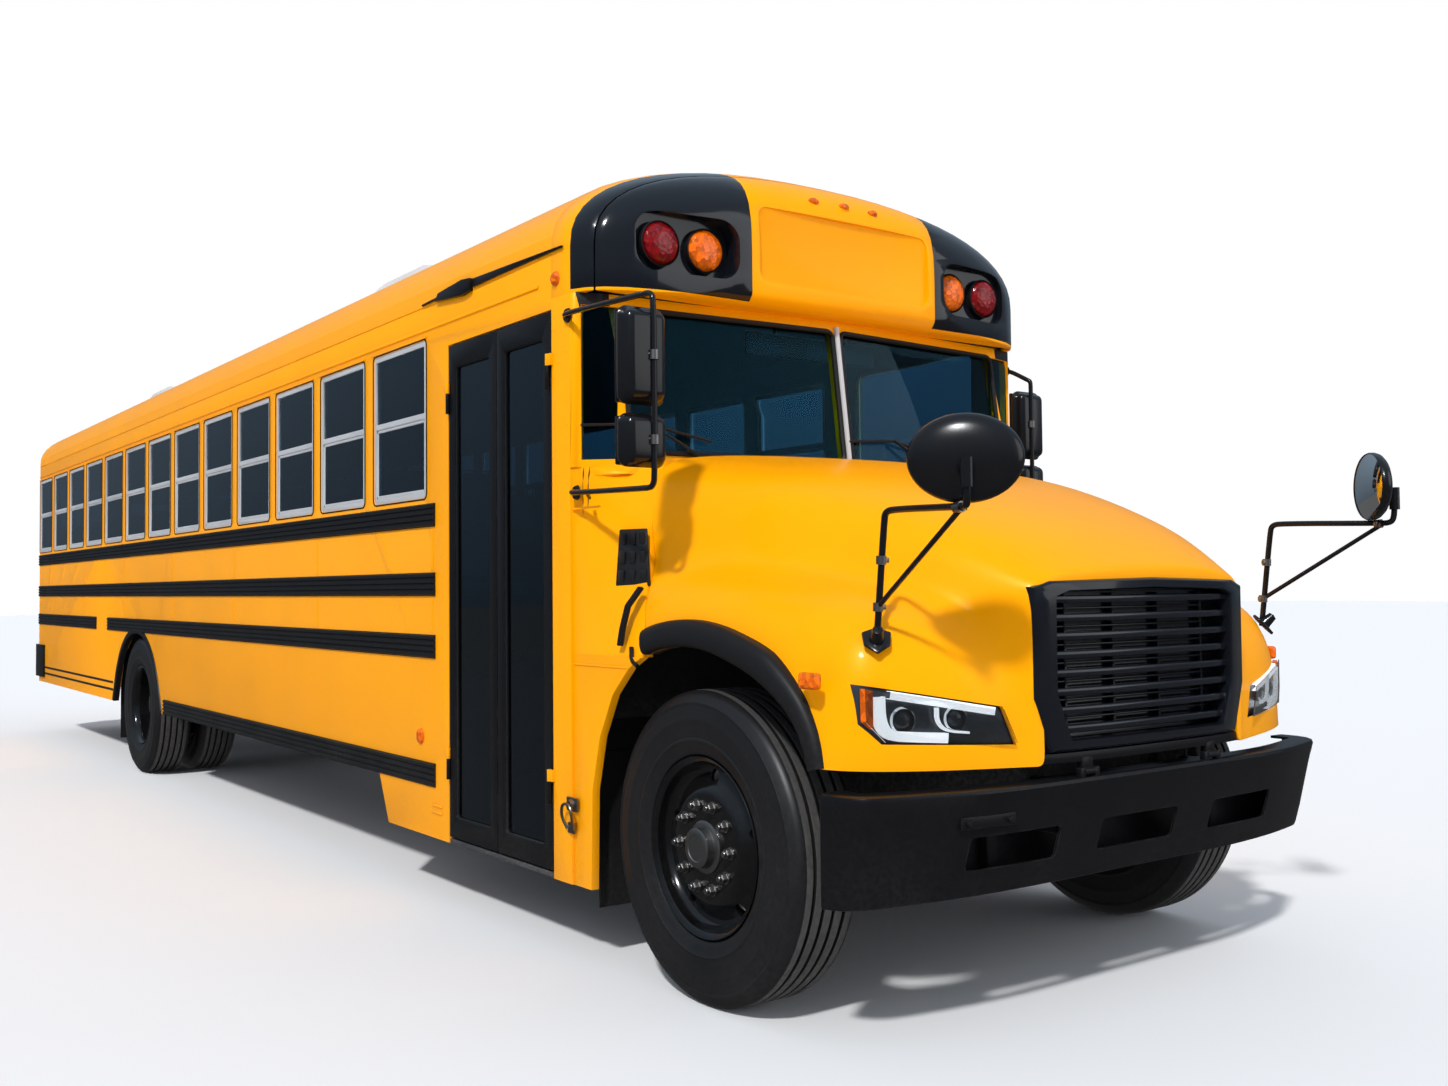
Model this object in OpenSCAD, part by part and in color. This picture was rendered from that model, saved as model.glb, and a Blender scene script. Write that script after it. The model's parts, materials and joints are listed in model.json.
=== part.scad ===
// Conventional school bus: welded body on a ladder frame, tilting hood,
// outward opening entrance door and dual rear wheels.
// X runs forward, Y to the left, Z up, and the ground is Z = 0.
// Along X everything is set out from the station datum, 80 mm behind the front axle.

/* [Body] */
// Width over the side panels
body_w = 2438; // [2000:1:2950]
// Thickness of the side walls
wall_t = 40; // [30:1:50]
// Thickness of the roof
roof_t = 45; // [30:1:60]
// Height of the eaves above the ground
eave_z = 2700; // [2650:1:2900]
// Rise of the roof above the eaves
roof_rise = 455; // [380:1:560]
// Height of the floor's upper face
floor_z = 1000; // [980:1:1040]
// Thickness of the floor
floor_t = 40; // [30:1:50]
// Height of the skirt's lower edge
skirt_z = 510; // [480:1:560]
// Height of the lower edge beside the entrance door
step_skirt_z = 285; // [260:1:310]

/* [Side windows] */
// Number of passenger windows on each side
window_count = 13; // [9:1:14]
// Distance from one window to the next
window_pitch = 741; // [680:1:900]
// Width of a window
window_w = 622; // [500:1:650]
// Height of a window's lower edge
window_z = 1814; // [1795:1:1830]
// Height of a window
window_h = 726; // [600:1:780]
// Width of the aluminium window frame
window_frame_w = 26; // [18:1:36]

/* [Entrance door] */
// Width of the doorway
door_w = 936; // [780:1:1050]
// Height of the doorway's upper edge
door_top_z = 2478; // [2400:1:2520]
// Thickness of a door leaf
door_t = 38; // [28:1:38]
// Gap around the door leaves
door_gap = 8; // [6:1:12]

/* [Wheels] */
// Outer radius of a tyre
tyre_r = 525; // [500:1:530]
// Width of a tyre
tyre_w = 280; // [230:1:290]
// Radius of the rim's bead seat
rim_r = 286; // [270:1:300]
// Distance of a front tyre's centre from the centre line
front_track_y = 1030; // [1010:1:1040]
// Distance of an outer rear tyre's centre from the centre line
rear_track_y = 1062; // [1050:1:1070]
// Distance between the centres of twin tyres
twin_pitch = 340; // [320:1:345]
// Number of wheel studs
stud_count = 10; // [8:1:10]

/* [Chassis] */
// Distance of a frame rail's outer face from the centre line
rail_y = 430; // [400:1:440]
// Height of a frame rail
rail_h = 255; // [220:1:260]
// Width of a frame rail's flanges
rail_flange = 80; // [60:1:90]
// Distance from the rear axle to the rear wall
rear_overhang = 4134; // [3400:1:4400]

/* [Seats] */
// Number of seat rows
seat_rows = 12; // [8:1:13]
// Width of a bench seat
seat_w = 860; // [720:1:870]
// Height of a seat back above the floor
seat_back_h = 1060; // [900:1:1100]

/* [Front end] */
// Height of the hood's rear edge at the centre line
hood_rear_z = 1925; // [1900:1:1940]
// Thickness of the hood
hood_t = 16; // [10:1:22]
// Height of the front bumper's upper edge
bumper_top_z = 790; // [760:1:800]
// Height of the front bumper's lower edge
bumper_low_z = 430; // [400:1:480]
// Half width of the grille
grille_hw = 500; // [440:1:505]
// Radius of a roof warning lamp
warning_lamp_r = 89; // [70:1:95]

/* [Hidden] */

$fn = 48;
hw = body_w / 2;
seat_gap = 0.3;
big = 4000;

yellow = "#ffa500";
black = "#1a1a1c";
dark_steel = "#2b2c2f";
silver = "#b9bcc0";
glass_tint = "#3c4d55";

// Stations along X
front_axle_x = 80;
door_front_x = -800;
door_rear_x = door_front_x - door_w;
post_front_x = -660;
first_window_x = door_rear_x - 234;
rear_post_w = 60;
rear_wall_t = 60;
rear_x = first_window_x - (window_count - 1) * window_pitch - window_w - rear_post_w;
rear_axle_x = rear_x + rear_overhang;
roof_front_x = -800;
cap_front_x = -430;
axle_z = tyre_r;

// Front body: the windshield leans back as it rises
ws_low_z = 1850;
cap_low_z = 2520;
ws_low_x = -441;
ws_top_x = -529;
ws_bow = 80;
corner_y = hw - 144;

// Hood tilt axis, just above the front bumper
hood_pivot_x = 1040;
hood_pivot_z = bumper_top_z + 16;
hood_hinge_y = 300;
hood_hinge_w = 50;

// Mirrors
side_mirror_x = 50;
driver_mirror_x = post_front_x + 75;
side_mirror_y = hw + 86;
cross_mirror_x = 1253;
cross_mirror_y = hw - 143;
cross_mirror_z = 1734;
cross_mirror_yaw = 46;
cross_mirror_w = 330;
cross_mirror_h = 250;
cross_mirror_d = 90;
rear_bumper_d = 90;

// The origin is under the middle of the overall length
cross_mirror_sphere_r = 260;
cross_mirror_bulge = 30;
nose_x = cross_mirror_x + cross_mirror_w / 2 * sin(cross_mirror_yaw)
    + (cross_mirror_bulge - cross_mirror_sphere_r + sqrt(pow(cross_mirror_sphere_r, 2) - pow(cross_mirror_w / 2, 2)))
    * cos(cross_mirror_yaw);
tail_x = rear_x - rear_bumper_d;
datum_shift = -(nose_x + tail_x) / 2;

// Steering
kingpin_y = 800;
kingpin_r = 22;
pin_clearance = 0.05;

// ---------- helpers ----------

module both_sides() {
    children();
    mirror([0, 1, 0]) children();
}

// A side view outline (x, z) made solid between y0 and y1
module side_prism(y0, y1) {
    translate([0, y1, 0]) rotate([90, 0, 0]) linear_extrude(y1 - y0) children();
}

// A front view outline (y, z) made solid between x0 and x1
module front_prism(x0, x1) {
    translate([x0, 0, 0]) rotate([90, 0, 90]) linear_extrude(x1 - x0) children();
}

// A plan outline (x, y) made solid between z0 and z1
module plan_prism(z0, z1) {
    translate([0, 0, z0]) linear_extrude(z1 - z0) children();
}

module block(low, high) {
    translate(low) cube(high - low);
}

module rounded(r, w, h) {
    translate([r, 0]) square([w - 2 * r, h]);
    translate([0, r]) square([w, h - 2 * r]);
    for (x = [r, w - r], y = [r, h - r]) translate([x, y]) circle(r, $fn = 24);
}

module y_cylinder(r, y0, y1) {
    translate([0, y0, 0]) rotate([-90, 0, 0]) cylinder(r = r, h = y1 - y0);
}

module tube(a, b, r) {
    d = b - a;
    len = norm(d);
    translate(a) rotate([0, acos(d[2] / len), atan2(d[1], d[0])]) cylinder(r = r, h = len, $fn = 24);
}

// Round bar or pipe bent along a list of points
bar_sides = 10;
function unit(v) = v / norm(v);
function path_direction(points, i) =
    i == 0 ? unit(points[1] - points[0]) :
    i == len(points) - 1 ? unit(points[i] - points[i - 1]) :
    unit(unit(points[i] - points[i - 1]) + unit(points[i + 1] - points[i]));
function path_side(d) = unit(abs(d[2]) > 0.9 ? cross(d, [1, 0, 0]) : cross(d, [0, 0, 1]));

// The side vector is carried from ring to ring, so that the rings never twist
function carried_sides(points, i, side) =
    let (d = path_direction(points, i), s = unit(side - (side * d) * d))
    i == len(points) - 1 ? [s] : concat([s], carried_sides(points, i + 1, s));

module tube_path(points, r) {
    sides = carried_sides(points, 0, path_side(path_direction(points, 0)));
    n = len(points);
    m = bar_sides;
    rings = [for (i = [0:n - 1]) let (d = path_direction(points, i), u = sides[i], v = cross(d, u))
        for (k = [0:m - 1]) points[i] + r * (cos(360 * k / m) * u + sin(360 * k / m) * v)];
    polyhedron(points = rings, faces = concat(
        [[for (k = [0:m - 1]) k]],
        [[for (k = [m - 1:-1:0]) (n - 1) * m + k]],
        [for (i = [0:n - 2], k = [0:m - 1]) let (a = i * m + k, b = i * m + (k + 1) % m) each [
            [a, a + m, b], [b, a + m, b + m]]]));
}

// ---------- body outline ----------

// Roof curve from the right eave over the top to the left eave
roof_power = 2.3;
roof_steps = 28;
function curve_part(v) = sign(v) * pow(abs(v), 2 / roof_power);
function roof_curve(inset) = [
    for (i = [0:roof_steps]) let (a = 180 * i / roof_steps)
        [-(hw - inset) * curve_part(cos(a)), eave_z + (roof_rise - inset) * curve_part(sin(a))]
];

// Whole cross-section of the body down to low_z
function body_section(inset, low_z) =
    concat([[-(hw - inset), low_z]], roof_curve(inset), [[hw - inset, low_z]]);

function window_x(i) = first_window_x - window_w - i * window_pitch;

// Outline of a rear wheel opening in the side wall
arch_top_z = 1085;
module rear_arch() {
    offset(r = 60) offset(delta = -60) polygon([
        [rear_axle_x - 750, 0], [rear_axle_x - 750, 516], [rear_axle_x - 560, 880],
        [rear_axle_x - 215, arch_top_z], [rear_axle_x + 215, arch_top_z],
        [rear_axle_x + 560, 880], [rear_axle_x + 750, 507], [rear_axle_x + 750, 0]]);
}

// Side wall outline: long skirt, lowered at the entrance
module wall_outline(front_x) {
    difference() {
        polygon([
            [rear_x + rear_wall_t, skirt_z], [door_rear_x - 790, skirt_z],
            [door_rear_x - 676, step_skirt_z], [front_x, step_skirt_z],
            [front_x, cap_low_z], [roof_front_x, cap_low_z],
            [roof_front_x, eave_z], [rear_x + rear_wall_t, eave_z]]);
        rear_arch();
        for (i = [0:window_count - 1])
            translate([window_x(i), window_z]) rounded(25, window_w, window_h);
    }
}

module right_side_wall() {
    color(yellow) {
        side_prism(-hw, -hw + wall_t) difference() {
            wall_outline(post_front_x);
            translate([door_rear_x, 0]) square([door_w, door_top_z]);
        }
        for (z = leaf_hinges_z) {
            wall_knuckle(front_hinge_x, door_front_x + 12, z);
            wall_knuckle(rear_hinge_x, door_rear_x - 12, z);
        }
    }
}

// Half of a door hinge that stays on the wall, above the barrel of the leaf
module wall_knuckle(x, wall_x, z) {
    base = z + hinge_barrel_h + seat_gap;
    translate([x, -hw - hinge_out, base]) cylinder(r = hinge_r, h = 45, $fn = 24);
    block([min(x, wall_x), -hw - hinge_out - 3, base], [max(x, wall_x), -hw - hinge_out + 3, base + 45]);
    block([min(wall_x, wall_x - sign(wall_x - x) * 10), -hw - hinge_out - 3, base],
          [max(wall_x, wall_x - sign(wall_x - x) * 10), -hw + 5, base + 45]);
}

// Driver's window in the left wall
driver_window_x = door_rear_x + 30;
driver_window_w = door_w - 90;
module left_side_wall() {
    color(yellow) side_prism(hw - wall_t, hw) difference() {
        wall_outline(post_front_x);
        translate([driver_window_x, window_z]) rounded(40, driver_window_w, window_h);
    }
    color(yellow) stop_arm_ears();
}

// ---------- roof and ends ----------

module roof() {
    color(yellow) front_prism(rear_x + rear_wall_t, roof_front_x)
        polygon(concat(roof_curve(0), [for (i = [roof_steps:-1:0]) roof_curve(roof_t)[i]]));
}

emergency_door_hw = 440;
emergency_door_low_z = floor_z + 10;
emergency_door_top_z = 2440;
rear_low_z = 560;
rear_window_y = 590;
rear_window_w = 430;
tail_lamp_y = 1120;

// Plan of the rear wall with its rounded corners
module rear_plan() {
    corner = 50;
    hull() {
        translate([rear_x + corner, hw - corner]) circle(corner);
        translate([rear_x + corner, -hw + corner]) circle(corner);
        translate([rear_x + rear_wall_t, -hw]) square([1, body_w]);
    }
}

module rear_wall() {
    color(yellow) for (z = emergency_hinges_z) {
        base = z + hinge_barrel_h + seat_gap;
        translate([emergency_hinge_x, emergency_hinge_y, base]) cylinder(r = 10, h = 45, $fn = 24);
        block([emergency_hinge_x - 6, emergency_hinge_y - 26, base], [emergency_hinge_x + 4, emergency_hinge_y, base + 45]);
        block([emergency_hinge_x - 6, emergency_hinge_y - 32, base], [rear_x + 5, emergency_hinge_y - 22, base + 45]);
    }
    color(yellow) difference() {
        intersection() {
            front_prism(rear_x, rear_x + rear_wall_t) polygon(body_section(0, rear_low_z));
            plan_prism(0, big) rear_plan();
        }
        front_prism(rear_x - 10, rear_x + rear_wall_t + 10) {
            translate([-emergency_door_hw, emergency_door_low_z])
                square([2 * emergency_door_hw, emergency_door_top_z - emergency_door_low_z]);
            for (s = [-1, 1])
                translate([s * (rear_window_y + rear_window_w / 2) - rear_window_w / 2, window_z])
                    rounded(30, rear_window_w, window_h - 60);
        }
    }
}

// Roof cap above the windshield: curved across, rounded at its brow
module cap_solid() {
    intersection() {
        front_prism(roof_front_x, cap_front_x + 20) polygon(body_section(0, cap_low_z));
        side_prism(-hw, hw) polygon([
            [roof_front_x, cap_low_z], [cap_front_x - 45, cap_low_z],
            [cap_front_x - 12, cap_low_z + 40], [cap_front_x, cap_low_z + 110],
            [cap_front_x - 2, 2920], [cap_front_x - 12, 2985], [cap_front_x - 40, 3035],
            [cap_front_x - 95, 3080], [cap_front_x - 180, 3115], [roof_front_x, 3165]]);
        plan_prism(0, big) polygon([
            [roof_front_x, -hw], [-700, -hw], [-655, -hw + 8], [-610, -hw + 28],
            [-560, -hw + 75], [-515, -hw + 160], [-480, -hw + 290],
            [-455, -hw + 500], [-440, -hw + 750], [cap_front_x, 0],
            [-440, hw - 750], [-455, hw - 500], [-480, hw - 290],
            [-515, hw - 160], [-560, hw - 75], [-610, hw - 28],
            [-655, hw - 8], [-700, hw], [roof_front_x, hw]]);
    }
}

module cap_hollow() {
    front_prism(roof_front_x - 1, -570) polygon(body_section(roof_t + 15, cap_low_z - 1));
}

shroud_y = 510;
module shroud_zone() {
    both_sides() block([-668, shroud_y, cap_low_z + 13], [0, hw + 10, big]);
}

module front_cap() {
    color(yellow) difference() {
        cap_solid();
        cap_hollow();
        shroud_zone();
        front_prism(cap_front_x - 16, cap_front_x + 1)
            translate([-shroud_y + 30, cap_low_z + 85]) rounded(30, 2 * shroud_y - 60, 330);
    }
}

amber_lamp_y = 687;
red_lamp_y = 900;
lamp_z = 2722;
pocket_x = -535;
module lamp_shrouds() {
    color(black) difference() {
        intersection() {
            cap_solid();
            shroud_zone();
        }
        cap_hollow();
        both_sides() front_prism(pocket_x, 0)
            translate([amber_lamp_y - 118, lamp_z - 118]) rounded(60, red_lamp_y - amber_lamp_y + 236, 236);
    }
}

// ---------- front body ----------

// Plan of the front body at one height, x of its centre given
module front_plan(centre_x, inset) {
    offset(delta = -inset) polygon([
        [-1200, -hw], [post_front_x, -hw], [post_front_x + 20, -hw + 14],
        [centre_x - ws_bow, -corner_y], [centre_x, 0], [centre_x - ws_bow, corner_y],
        [post_front_x + 20, hw - 14], [post_front_x, hw], [-1200, hw]]);
}

module front_block(inset) {
    intersection() {
        hull() {
            plan_prism(ws_low_z, ws_low_z + 0.1) front_plan(ws_low_x, inset);
            plan_prism(cap_low_z - 0.1, cap_low_z) front_plan(ws_top_x, inset);
        }
        block([post_front_x, -hw, 0], [0, hw, big]);
    }
}

ws_margin = 45;
ws_angle = atan(ws_bow / corner_y);
quarter_yaw = 44;
// Openings for the two windshield panes and the two corner panes
module front_openings(clear) {
    both_sides() {
        block([-900, ws_margin / 2 + clear, ws_low_z + 62 + clear],
              [0, corner_y - ws_margin - clear, cap_low_z - 48 - clear]);
        translate([(ws_low_x - ws_bow + post_front_x + 20) / 2, (corner_y + hw - 14) / 2, 0])
            rotate([0, 0, quarter_yaw + 90])
                block([-68 + clear, -100, ws_low_z + 30 + clear], [68 - clear, 100, cap_low_z - 48 - clear]);
    }
}

// Rear edge of the hood in side view, from the wheel opening up to the windshield
hood_edge = [[-190, 1150], [-232, 1350], [-330, 1600], [-380, 1800], [-420, ws_low_z]];

// Lower side panel behind the wheel
module cowl_side() {
    side_prism(hw - wall_t, hw - 8) polygon([
        [post_front_x, step_skirt_z], [-535, step_skirt_z], [-525, 650], [-470, 850],
        [-380, 1010], [-270, 1110], hood_edge[0], [post_front_x, hood_edge[0][1]]]);
}

// Upper side panel, curving inwards from the front post to the hood's edge.
// Each level holds how far inside the body side its middle and its front edge lie.
quarter_in = [[10, 23], [16, 56], [39, 149], [69, 200], [79, 244]];
quarter_mid_x = -560;
quarter_t = 36;
module cowl_quarter() {
    n = len(hood_edge);
    outer = [for (i = [0:n - 1]) let (z = hood_edge[i][1]) each [
        [post_front_x, hw - 8, z], [quarter_mid_x, hw - quarter_in[i][0], z],
        [hood_edge[i][0], hw - quarter_in[i][1], z]]];
    inner = [for (p = outer) p - [0, quarter_t, 0]];
    k = 3 * n;
    polyhedron(points = concat(outer, inner), faces = concat(
        [for (i = [0:n - 2], j = [0:1]) let (a = 3 * i + j, b = a + 3) each [
            [a, a + 1, b + 1], [a, b + 1, b],
            [k + a, k + b + 1, k + a + 1], [k + a, k + b, k + b + 1]]],
        [for (j = [0:1]) let (a = j, b = 3 * n - 3 + j) each [
            [a, k + a, k + a + 1], [a, k + a + 1, a + 1],
            [b, b + 1, k + b + 1], [b, k + b + 1, k + b]]],
        [for (i = [0:n - 2]) let (a = 3 * i, b = a + 3) each [
            [a, b, k + b], [a, k + b, k + a],
            [a + 2, k + a + 2, k + b + 2], [a + 2, k + b + 2, b + 2]]]));
}

firewall_x = -600;
firewall_low_z = 900;
module cowl() {
    color(yellow) union() {
        difference() {
            front_block(0);
            difference() {
                front_block(40);
                block([-900, -hw, 0], [0, hw, ws_low_z + 6]);
            }
            front_openings(0);
        }
        // base of the windshield, closed back to the firewall
        block([firewall_x, -hw + 60, ws_low_z - 30], [-470, hw - 60, ws_low_z + 1]);
        block([firewall_x - 40, -hw + wall_t, firewall_low_z], [firewall_x, hw - wall_t, ws_low_z + 1]);
        both_sides() {
            cowl_side();
            cowl_quarter();
            // return flange that ties the side panel to the firewall
            block([firewall_x - 40, hw - 60, step_skirt_z], [firewall_x - 20, hw - 30, ws_low_z]);
        }
    }
}

// ---------- glass and window frames ----------

glass_t = 6;
// Two sashes in one frame: the upper pane sits a little outside the lower one
meeting_z = window_z + 366;
module window_panes(y_out) {
    for (i = [0:window_count - 1]) {
        x0 = window_x(i) + window_frame_w + seat_gap;
        x1 = window_x(i) + window_w - window_frame_w - seat_gap;
        block([x0, y_out - 15, window_z + window_frame_w + seat_gap],
              [x1, y_out - 15 + glass_t, meeting_z - seat_gap]);
        block([x0, y_out - 15, meeting_z + window_frame_w + seat_gap],
              [x1, y_out - 15 + glass_t, window_z + window_h - window_frame_w - seat_gap]);
    }
}

module window_glass() {
    color(glass_tint, 0.4) {
        both_sides() window_panes(hw);
        // driver's window
        side_prism(hw - 20, hw - 20 + glass_t)
            translate([driver_window_x + seat_gap, window_z + seat_gap])
                rounded(40, driver_window_w - 2 * seat_gap, window_h - 2 * seat_gap);
        // rear windows
        front_prism(rear_x + 20, rear_x + 20 + glass_t)
            for (s = [-1, 1])
                translate([s * (rear_window_y + rear_window_w / 2) - rear_window_w / 2 + seat_gap,
                           window_z + seat_gap])
                    rounded(30, rear_window_w - 2 * seat_gap, window_h - 60 - 2 * seat_gap);
        // windshield and corner panes follow the front body's faces
        intersection() {
            difference() {
                front_block(12);
                front_block(12 + glass_t);
            }
            front_openings(seat_gap);
        }
    }
}

module window_frame() {
    difference() {
        translate([seat_gap, seat_gap])
            rounded(25, window_w - 2 * seat_gap, window_h - 2 * seat_gap);
        translate([window_frame_w, window_frame_w])
            square([window_w - 2 * window_frame_w, meeting_z - window_z - window_frame_w]);
        translate([window_frame_w, meeting_z - window_z + window_frame_w])
            square([window_w - 2 * window_frame_w,
                    window_z + window_h - meeting_z - 2 * window_frame_w]);
    }
}

module side_window_frames() {
    color(silver) both_sides() side_prism(hw - 32, hw - 2)
        for (i = [0:window_count - 1]) translate([window_x(i), window_z]) window_frame();
}

// ---------- outside trim ----------

rail_proud = 12;
rub_rail_h = 106;
rub_rails_z = [1680, 1367, 1086];
low_rail_z = 505;
rub_front_x = door_rear_x - 138;
module rub_rail(x0, x1, z) {
    if (x1 > x0) side_prism(hw, hw + rail_proud)
        polygon([[x0, z], [x1, z], [x1, z + rub_rail_h], [x0, z + rub_rail_h]]);
}

module rub_rails() {
    color(black) both_sides() {
        rub_rail(rear_x + rear_wall_t, rub_front_x, rub_rails_z[0]);
        rub_rail(rear_x + rear_wall_t, rub_front_x, rub_rails_z[1]);
        rub_rail(rear_x + rear_wall_t, rear_axle_x - 1412, rub_rails_z[2]);
        rub_rail(rear_axle_x - 974, rub_front_x, rub_rails_z[2]);
        rub_rail(rear_axle_x + 844, rub_front_x, low_rail_z + 5);
    }
}

// Plan of the front bumper at one height
module bumper_plan(front_x, corner_x, inset) {
    offset(delta = -inset) polygon([
        [300, -(hw - 12)], [760, -(hw - 12)], [corner_x - 90, -(hw - 16)], [corner_x - 35, -(hw - 55)],
        [corner_x, -(hw - 170)], [front_x, -(hw - 600)], [front_x, hw - 600], [corner_x, hw - 170],
        [corner_x - 35, hw - 55], [corner_x - 90, hw - 16], [760, hw - 12], [300, hw - 12]]);
}

module bumper_body(inset, low_z, top_z) {
    hull() {
        plan_prism(low_z, low_z + 0.1) bumper_plan(985, 905, inset);
        plan_prism(top_z - 0.1, top_z) bumper_plan(1085, 985, inset);
    }
}

bumper_t = 12;
slot_z = 525;
slot_h = 100;
bumper_bracket_x = 860;
plate_hole_pitch = 178;
plate_hole_r = 5;
plate_hole_z = 690;
module front_bumper() {
    color(black) difference() {
        union() {
            difference() {
                bumper_body(0, bumper_low_z, bumper_top_z);
                bumper_body(bumper_t, bumper_low_z - 40, bumper_top_z - bumper_t);
                bumper_body(85, bumper_low_z - 40, bumper_top_z + 40);
                block([0, -big, 0], [760, big, big]);
            }
            // brackets bolted to the frame rails
            both_sides() block([bumper_bracket_x, rail_y - 50, 610], [1005, rail_y - 20, bumper_top_z - 8]);
            // ears of the hood hinge
            both_sides() for (y = [hood_hinge_y - 20 - seat_gap, hood_hinge_y + hood_hinge_w + seat_gap]) {
                translate([hood_pivot_x, y, hood_pivot_z]) y_cylinder(12, 0, 20);
                block([hood_pivot_x - 12, y, bumper_top_z - 6], [hood_pivot_x + 12, y + 20, hood_pivot_z]);
            }
        }
        front_prism(500, 1300) {
            translate([-206, slot_z]) rounded(22, 412, slot_h);
            for (s = [-1, 1]) translate([s * 582 - 192, slot_z]) rounded(22, 384, slot_h);
        }
        for (s = [-1, 1]) translate([900, s * plate_hole_pitch / 2, plate_hole_z])
            rotate([0, 90, 0]) cylinder(r = plate_hole_r, h = 300);
    }
}

module rear_bumper() {
    bumper_h = 320;
    color(black) plan_prism(rear_low_z, rear_low_z + bumper_h) difference() {
        rear_bumper_plan(hw + 16, rear_x - rear_bumper_d, 60);
        rear_bumper_plan(hw + 0.3, rear_x - rear_bumper_d + 14, 50);
    }
    color(black) both_sides() block([rear_x - rear_bumper_d + 13, 380, 620], [rear_x, 400, 840]);
}

module rear_bumper_plan(half, back_x, r) {
    hull() {
        translate([back_x + r, half - r]) circle(r);
        translate([back_x + r, -half + r]) circle(r);
        translate([rear_x + 370, -half]) square([1, 2 * half]);
    }
}

// ---------- mirrors and lamps ----------

arm_r = 11;
mirror_low_z = 1726;
mirror_top_z = 2385;
module mirror_head(w, d, h) {
    // rounded box, its glass facing back
    translate([-d / 2, -w / 2, -h / 2]) plan_prism(0, h) rounded(d * 0.42, d, w);
}

module mirror_set(x) {
    // one bent tube, its feet straight outwards from the cowl and the front post
    tube_path([[post_front_x + 35, hw - 8 + seat_gap, 1755], [post_front_x + 35, hw + 20, 1755],
               [x - 40, side_mirror_y, mirror_low_z], [x, side_mirror_y, mirror_low_z + 40],
               [x, side_mirror_y, mirror_top_z - 40], [x - 40, side_mirror_y, mirror_top_z],
               [post_front_x - 12, hw + 20, 2433], [post_front_x - 12, hw + seat_gap, 2433]], arm_r);
    translate([x - 40, side_mirror_y + 20, 2170]) mirror_head(190, 90, 330);
    translate([x - 40, side_mirror_y + 20, 1886]) mirror_head(190, 90, 180);
}

// The driver's own mirrors hang close to the post, the ones above the door's side stand forward
module side_mirrors() {
    color(black) {
        mirror([0, 1, 0]) mirror_set(side_mirror_x);
        mirror_set(driver_mirror_x);
    }
}

// Oval cross-view mirrors on tube arms that stand on the fenders
cross_base = [800, hw - 208, 1245];
module crossview_mirrors() {
    color(black) both_sides() {
        tube_path([[808, hw - 208, 1330], [1200, hw - 163, 1640]], 8);
        // tube and foot, shaped to the fender below
        difference() {
            union() {
                tube_path([cross_base, [842, hw - 205, 1590], [870, hw - 203, 1612], [1190, hw - 164, 1640],
                           [1228, hw - 155, 1720]], arm_r);
                translate([cross_base[0], cross_base[1], cross_base[2] - 75]) cylinder(r = 36, h = 90);
            }
            hood_solid(seat_gap);
        }
        translate([cross_mirror_x, cross_mirror_y, cross_mirror_z]) rotate([0, 0, cross_mirror_yaw])
            intersection() {
                translate([cross_mirror_bulge - cross_mirror_sphere_r, 0, 0]) sphere(cross_mirror_sphere_r, $fn = 48);
                front_prism(-cross_mirror_d / 2 - 10, 60) polygon([for (i = [0:31]) let (a = 360 * i / 32)
                    [cross_mirror_w / 2 * cos(a), cross_mirror_h / 2 * sin(a)]]);
            }
    }
}

module round_lamp(x, y, z, r, d) {
    translate([x, y, z]) rotate([0, 90, 0]) cylinder(r = r, h = d);
}

rear_lamp_z = 2640;
module red_lamps() {
    color("#7a0a08") for (s = [-1, 1]) {
        round_lamp(pocket_x, s * red_lamp_y, lamp_z, warning_lamp_r, 50);
        round_lamp(rear_x - 25, s * 905, rear_lamp_z, warning_lamp_r, 25);
        round_lamp(rear_x - 25, s * tail_lamp_y * 0.955, 1560, 90, 25);
        round_lamp(rear_x - 20, s * tail_lamp_y * 0.955, 1200, 52, 20);
        round_lamp(rear_x - 14, s * 0.5 * hw, 2960, 30, 14);
    }
}

module amber_lamps() {
    color("#ff8a1a") {
        for (s = [-1, 1]) {
            round_lamp(pocket_x, s * amber_lamp_y, lamp_z, warning_lamp_r, 55);
            round_lamp(rear_x - 25, s * 680, rear_lamp_z, warning_lamp_r, 25);
            round_lamp(rear_x - 25, s * tail_lamp_y * 0.955, 1350, 70, 25);
        }
        both_sides() translate([-2035, hw, 727]) rotate([-90, 0, 0]) cylinder(r = 38, h = 16);
    }
}

module roof_units() {
    color("#e8e9ea") for (x = [-4000, -9750]) {
        top_z = eave_z + roof_rise;
        translate([x, 0, 0]) difference() {
            side_prism(-470, 470) polygon([
                [-760, top_z - 60], [-720, top_z + 30], [-600, top_z + 120], [-300, top_z + 175],
                [300, top_z + 175], [600, top_z + 120], [720, top_z + 30], [760, top_z - 60]]);
            front_prism(-900, 900) polygon(body_section(0, 0));
        }
    }
}

// ---------- inside ----------

wheel_well = [rear_axle_x - 770, rear_axle_x + 770];
well_y = 560;
well_top_z = 1125;
well_t = 12;
floor_low_z = floor_z - floor_t;
rail_top_z = floor_low_z - 90;
step_y = rail_y + 10;

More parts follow.
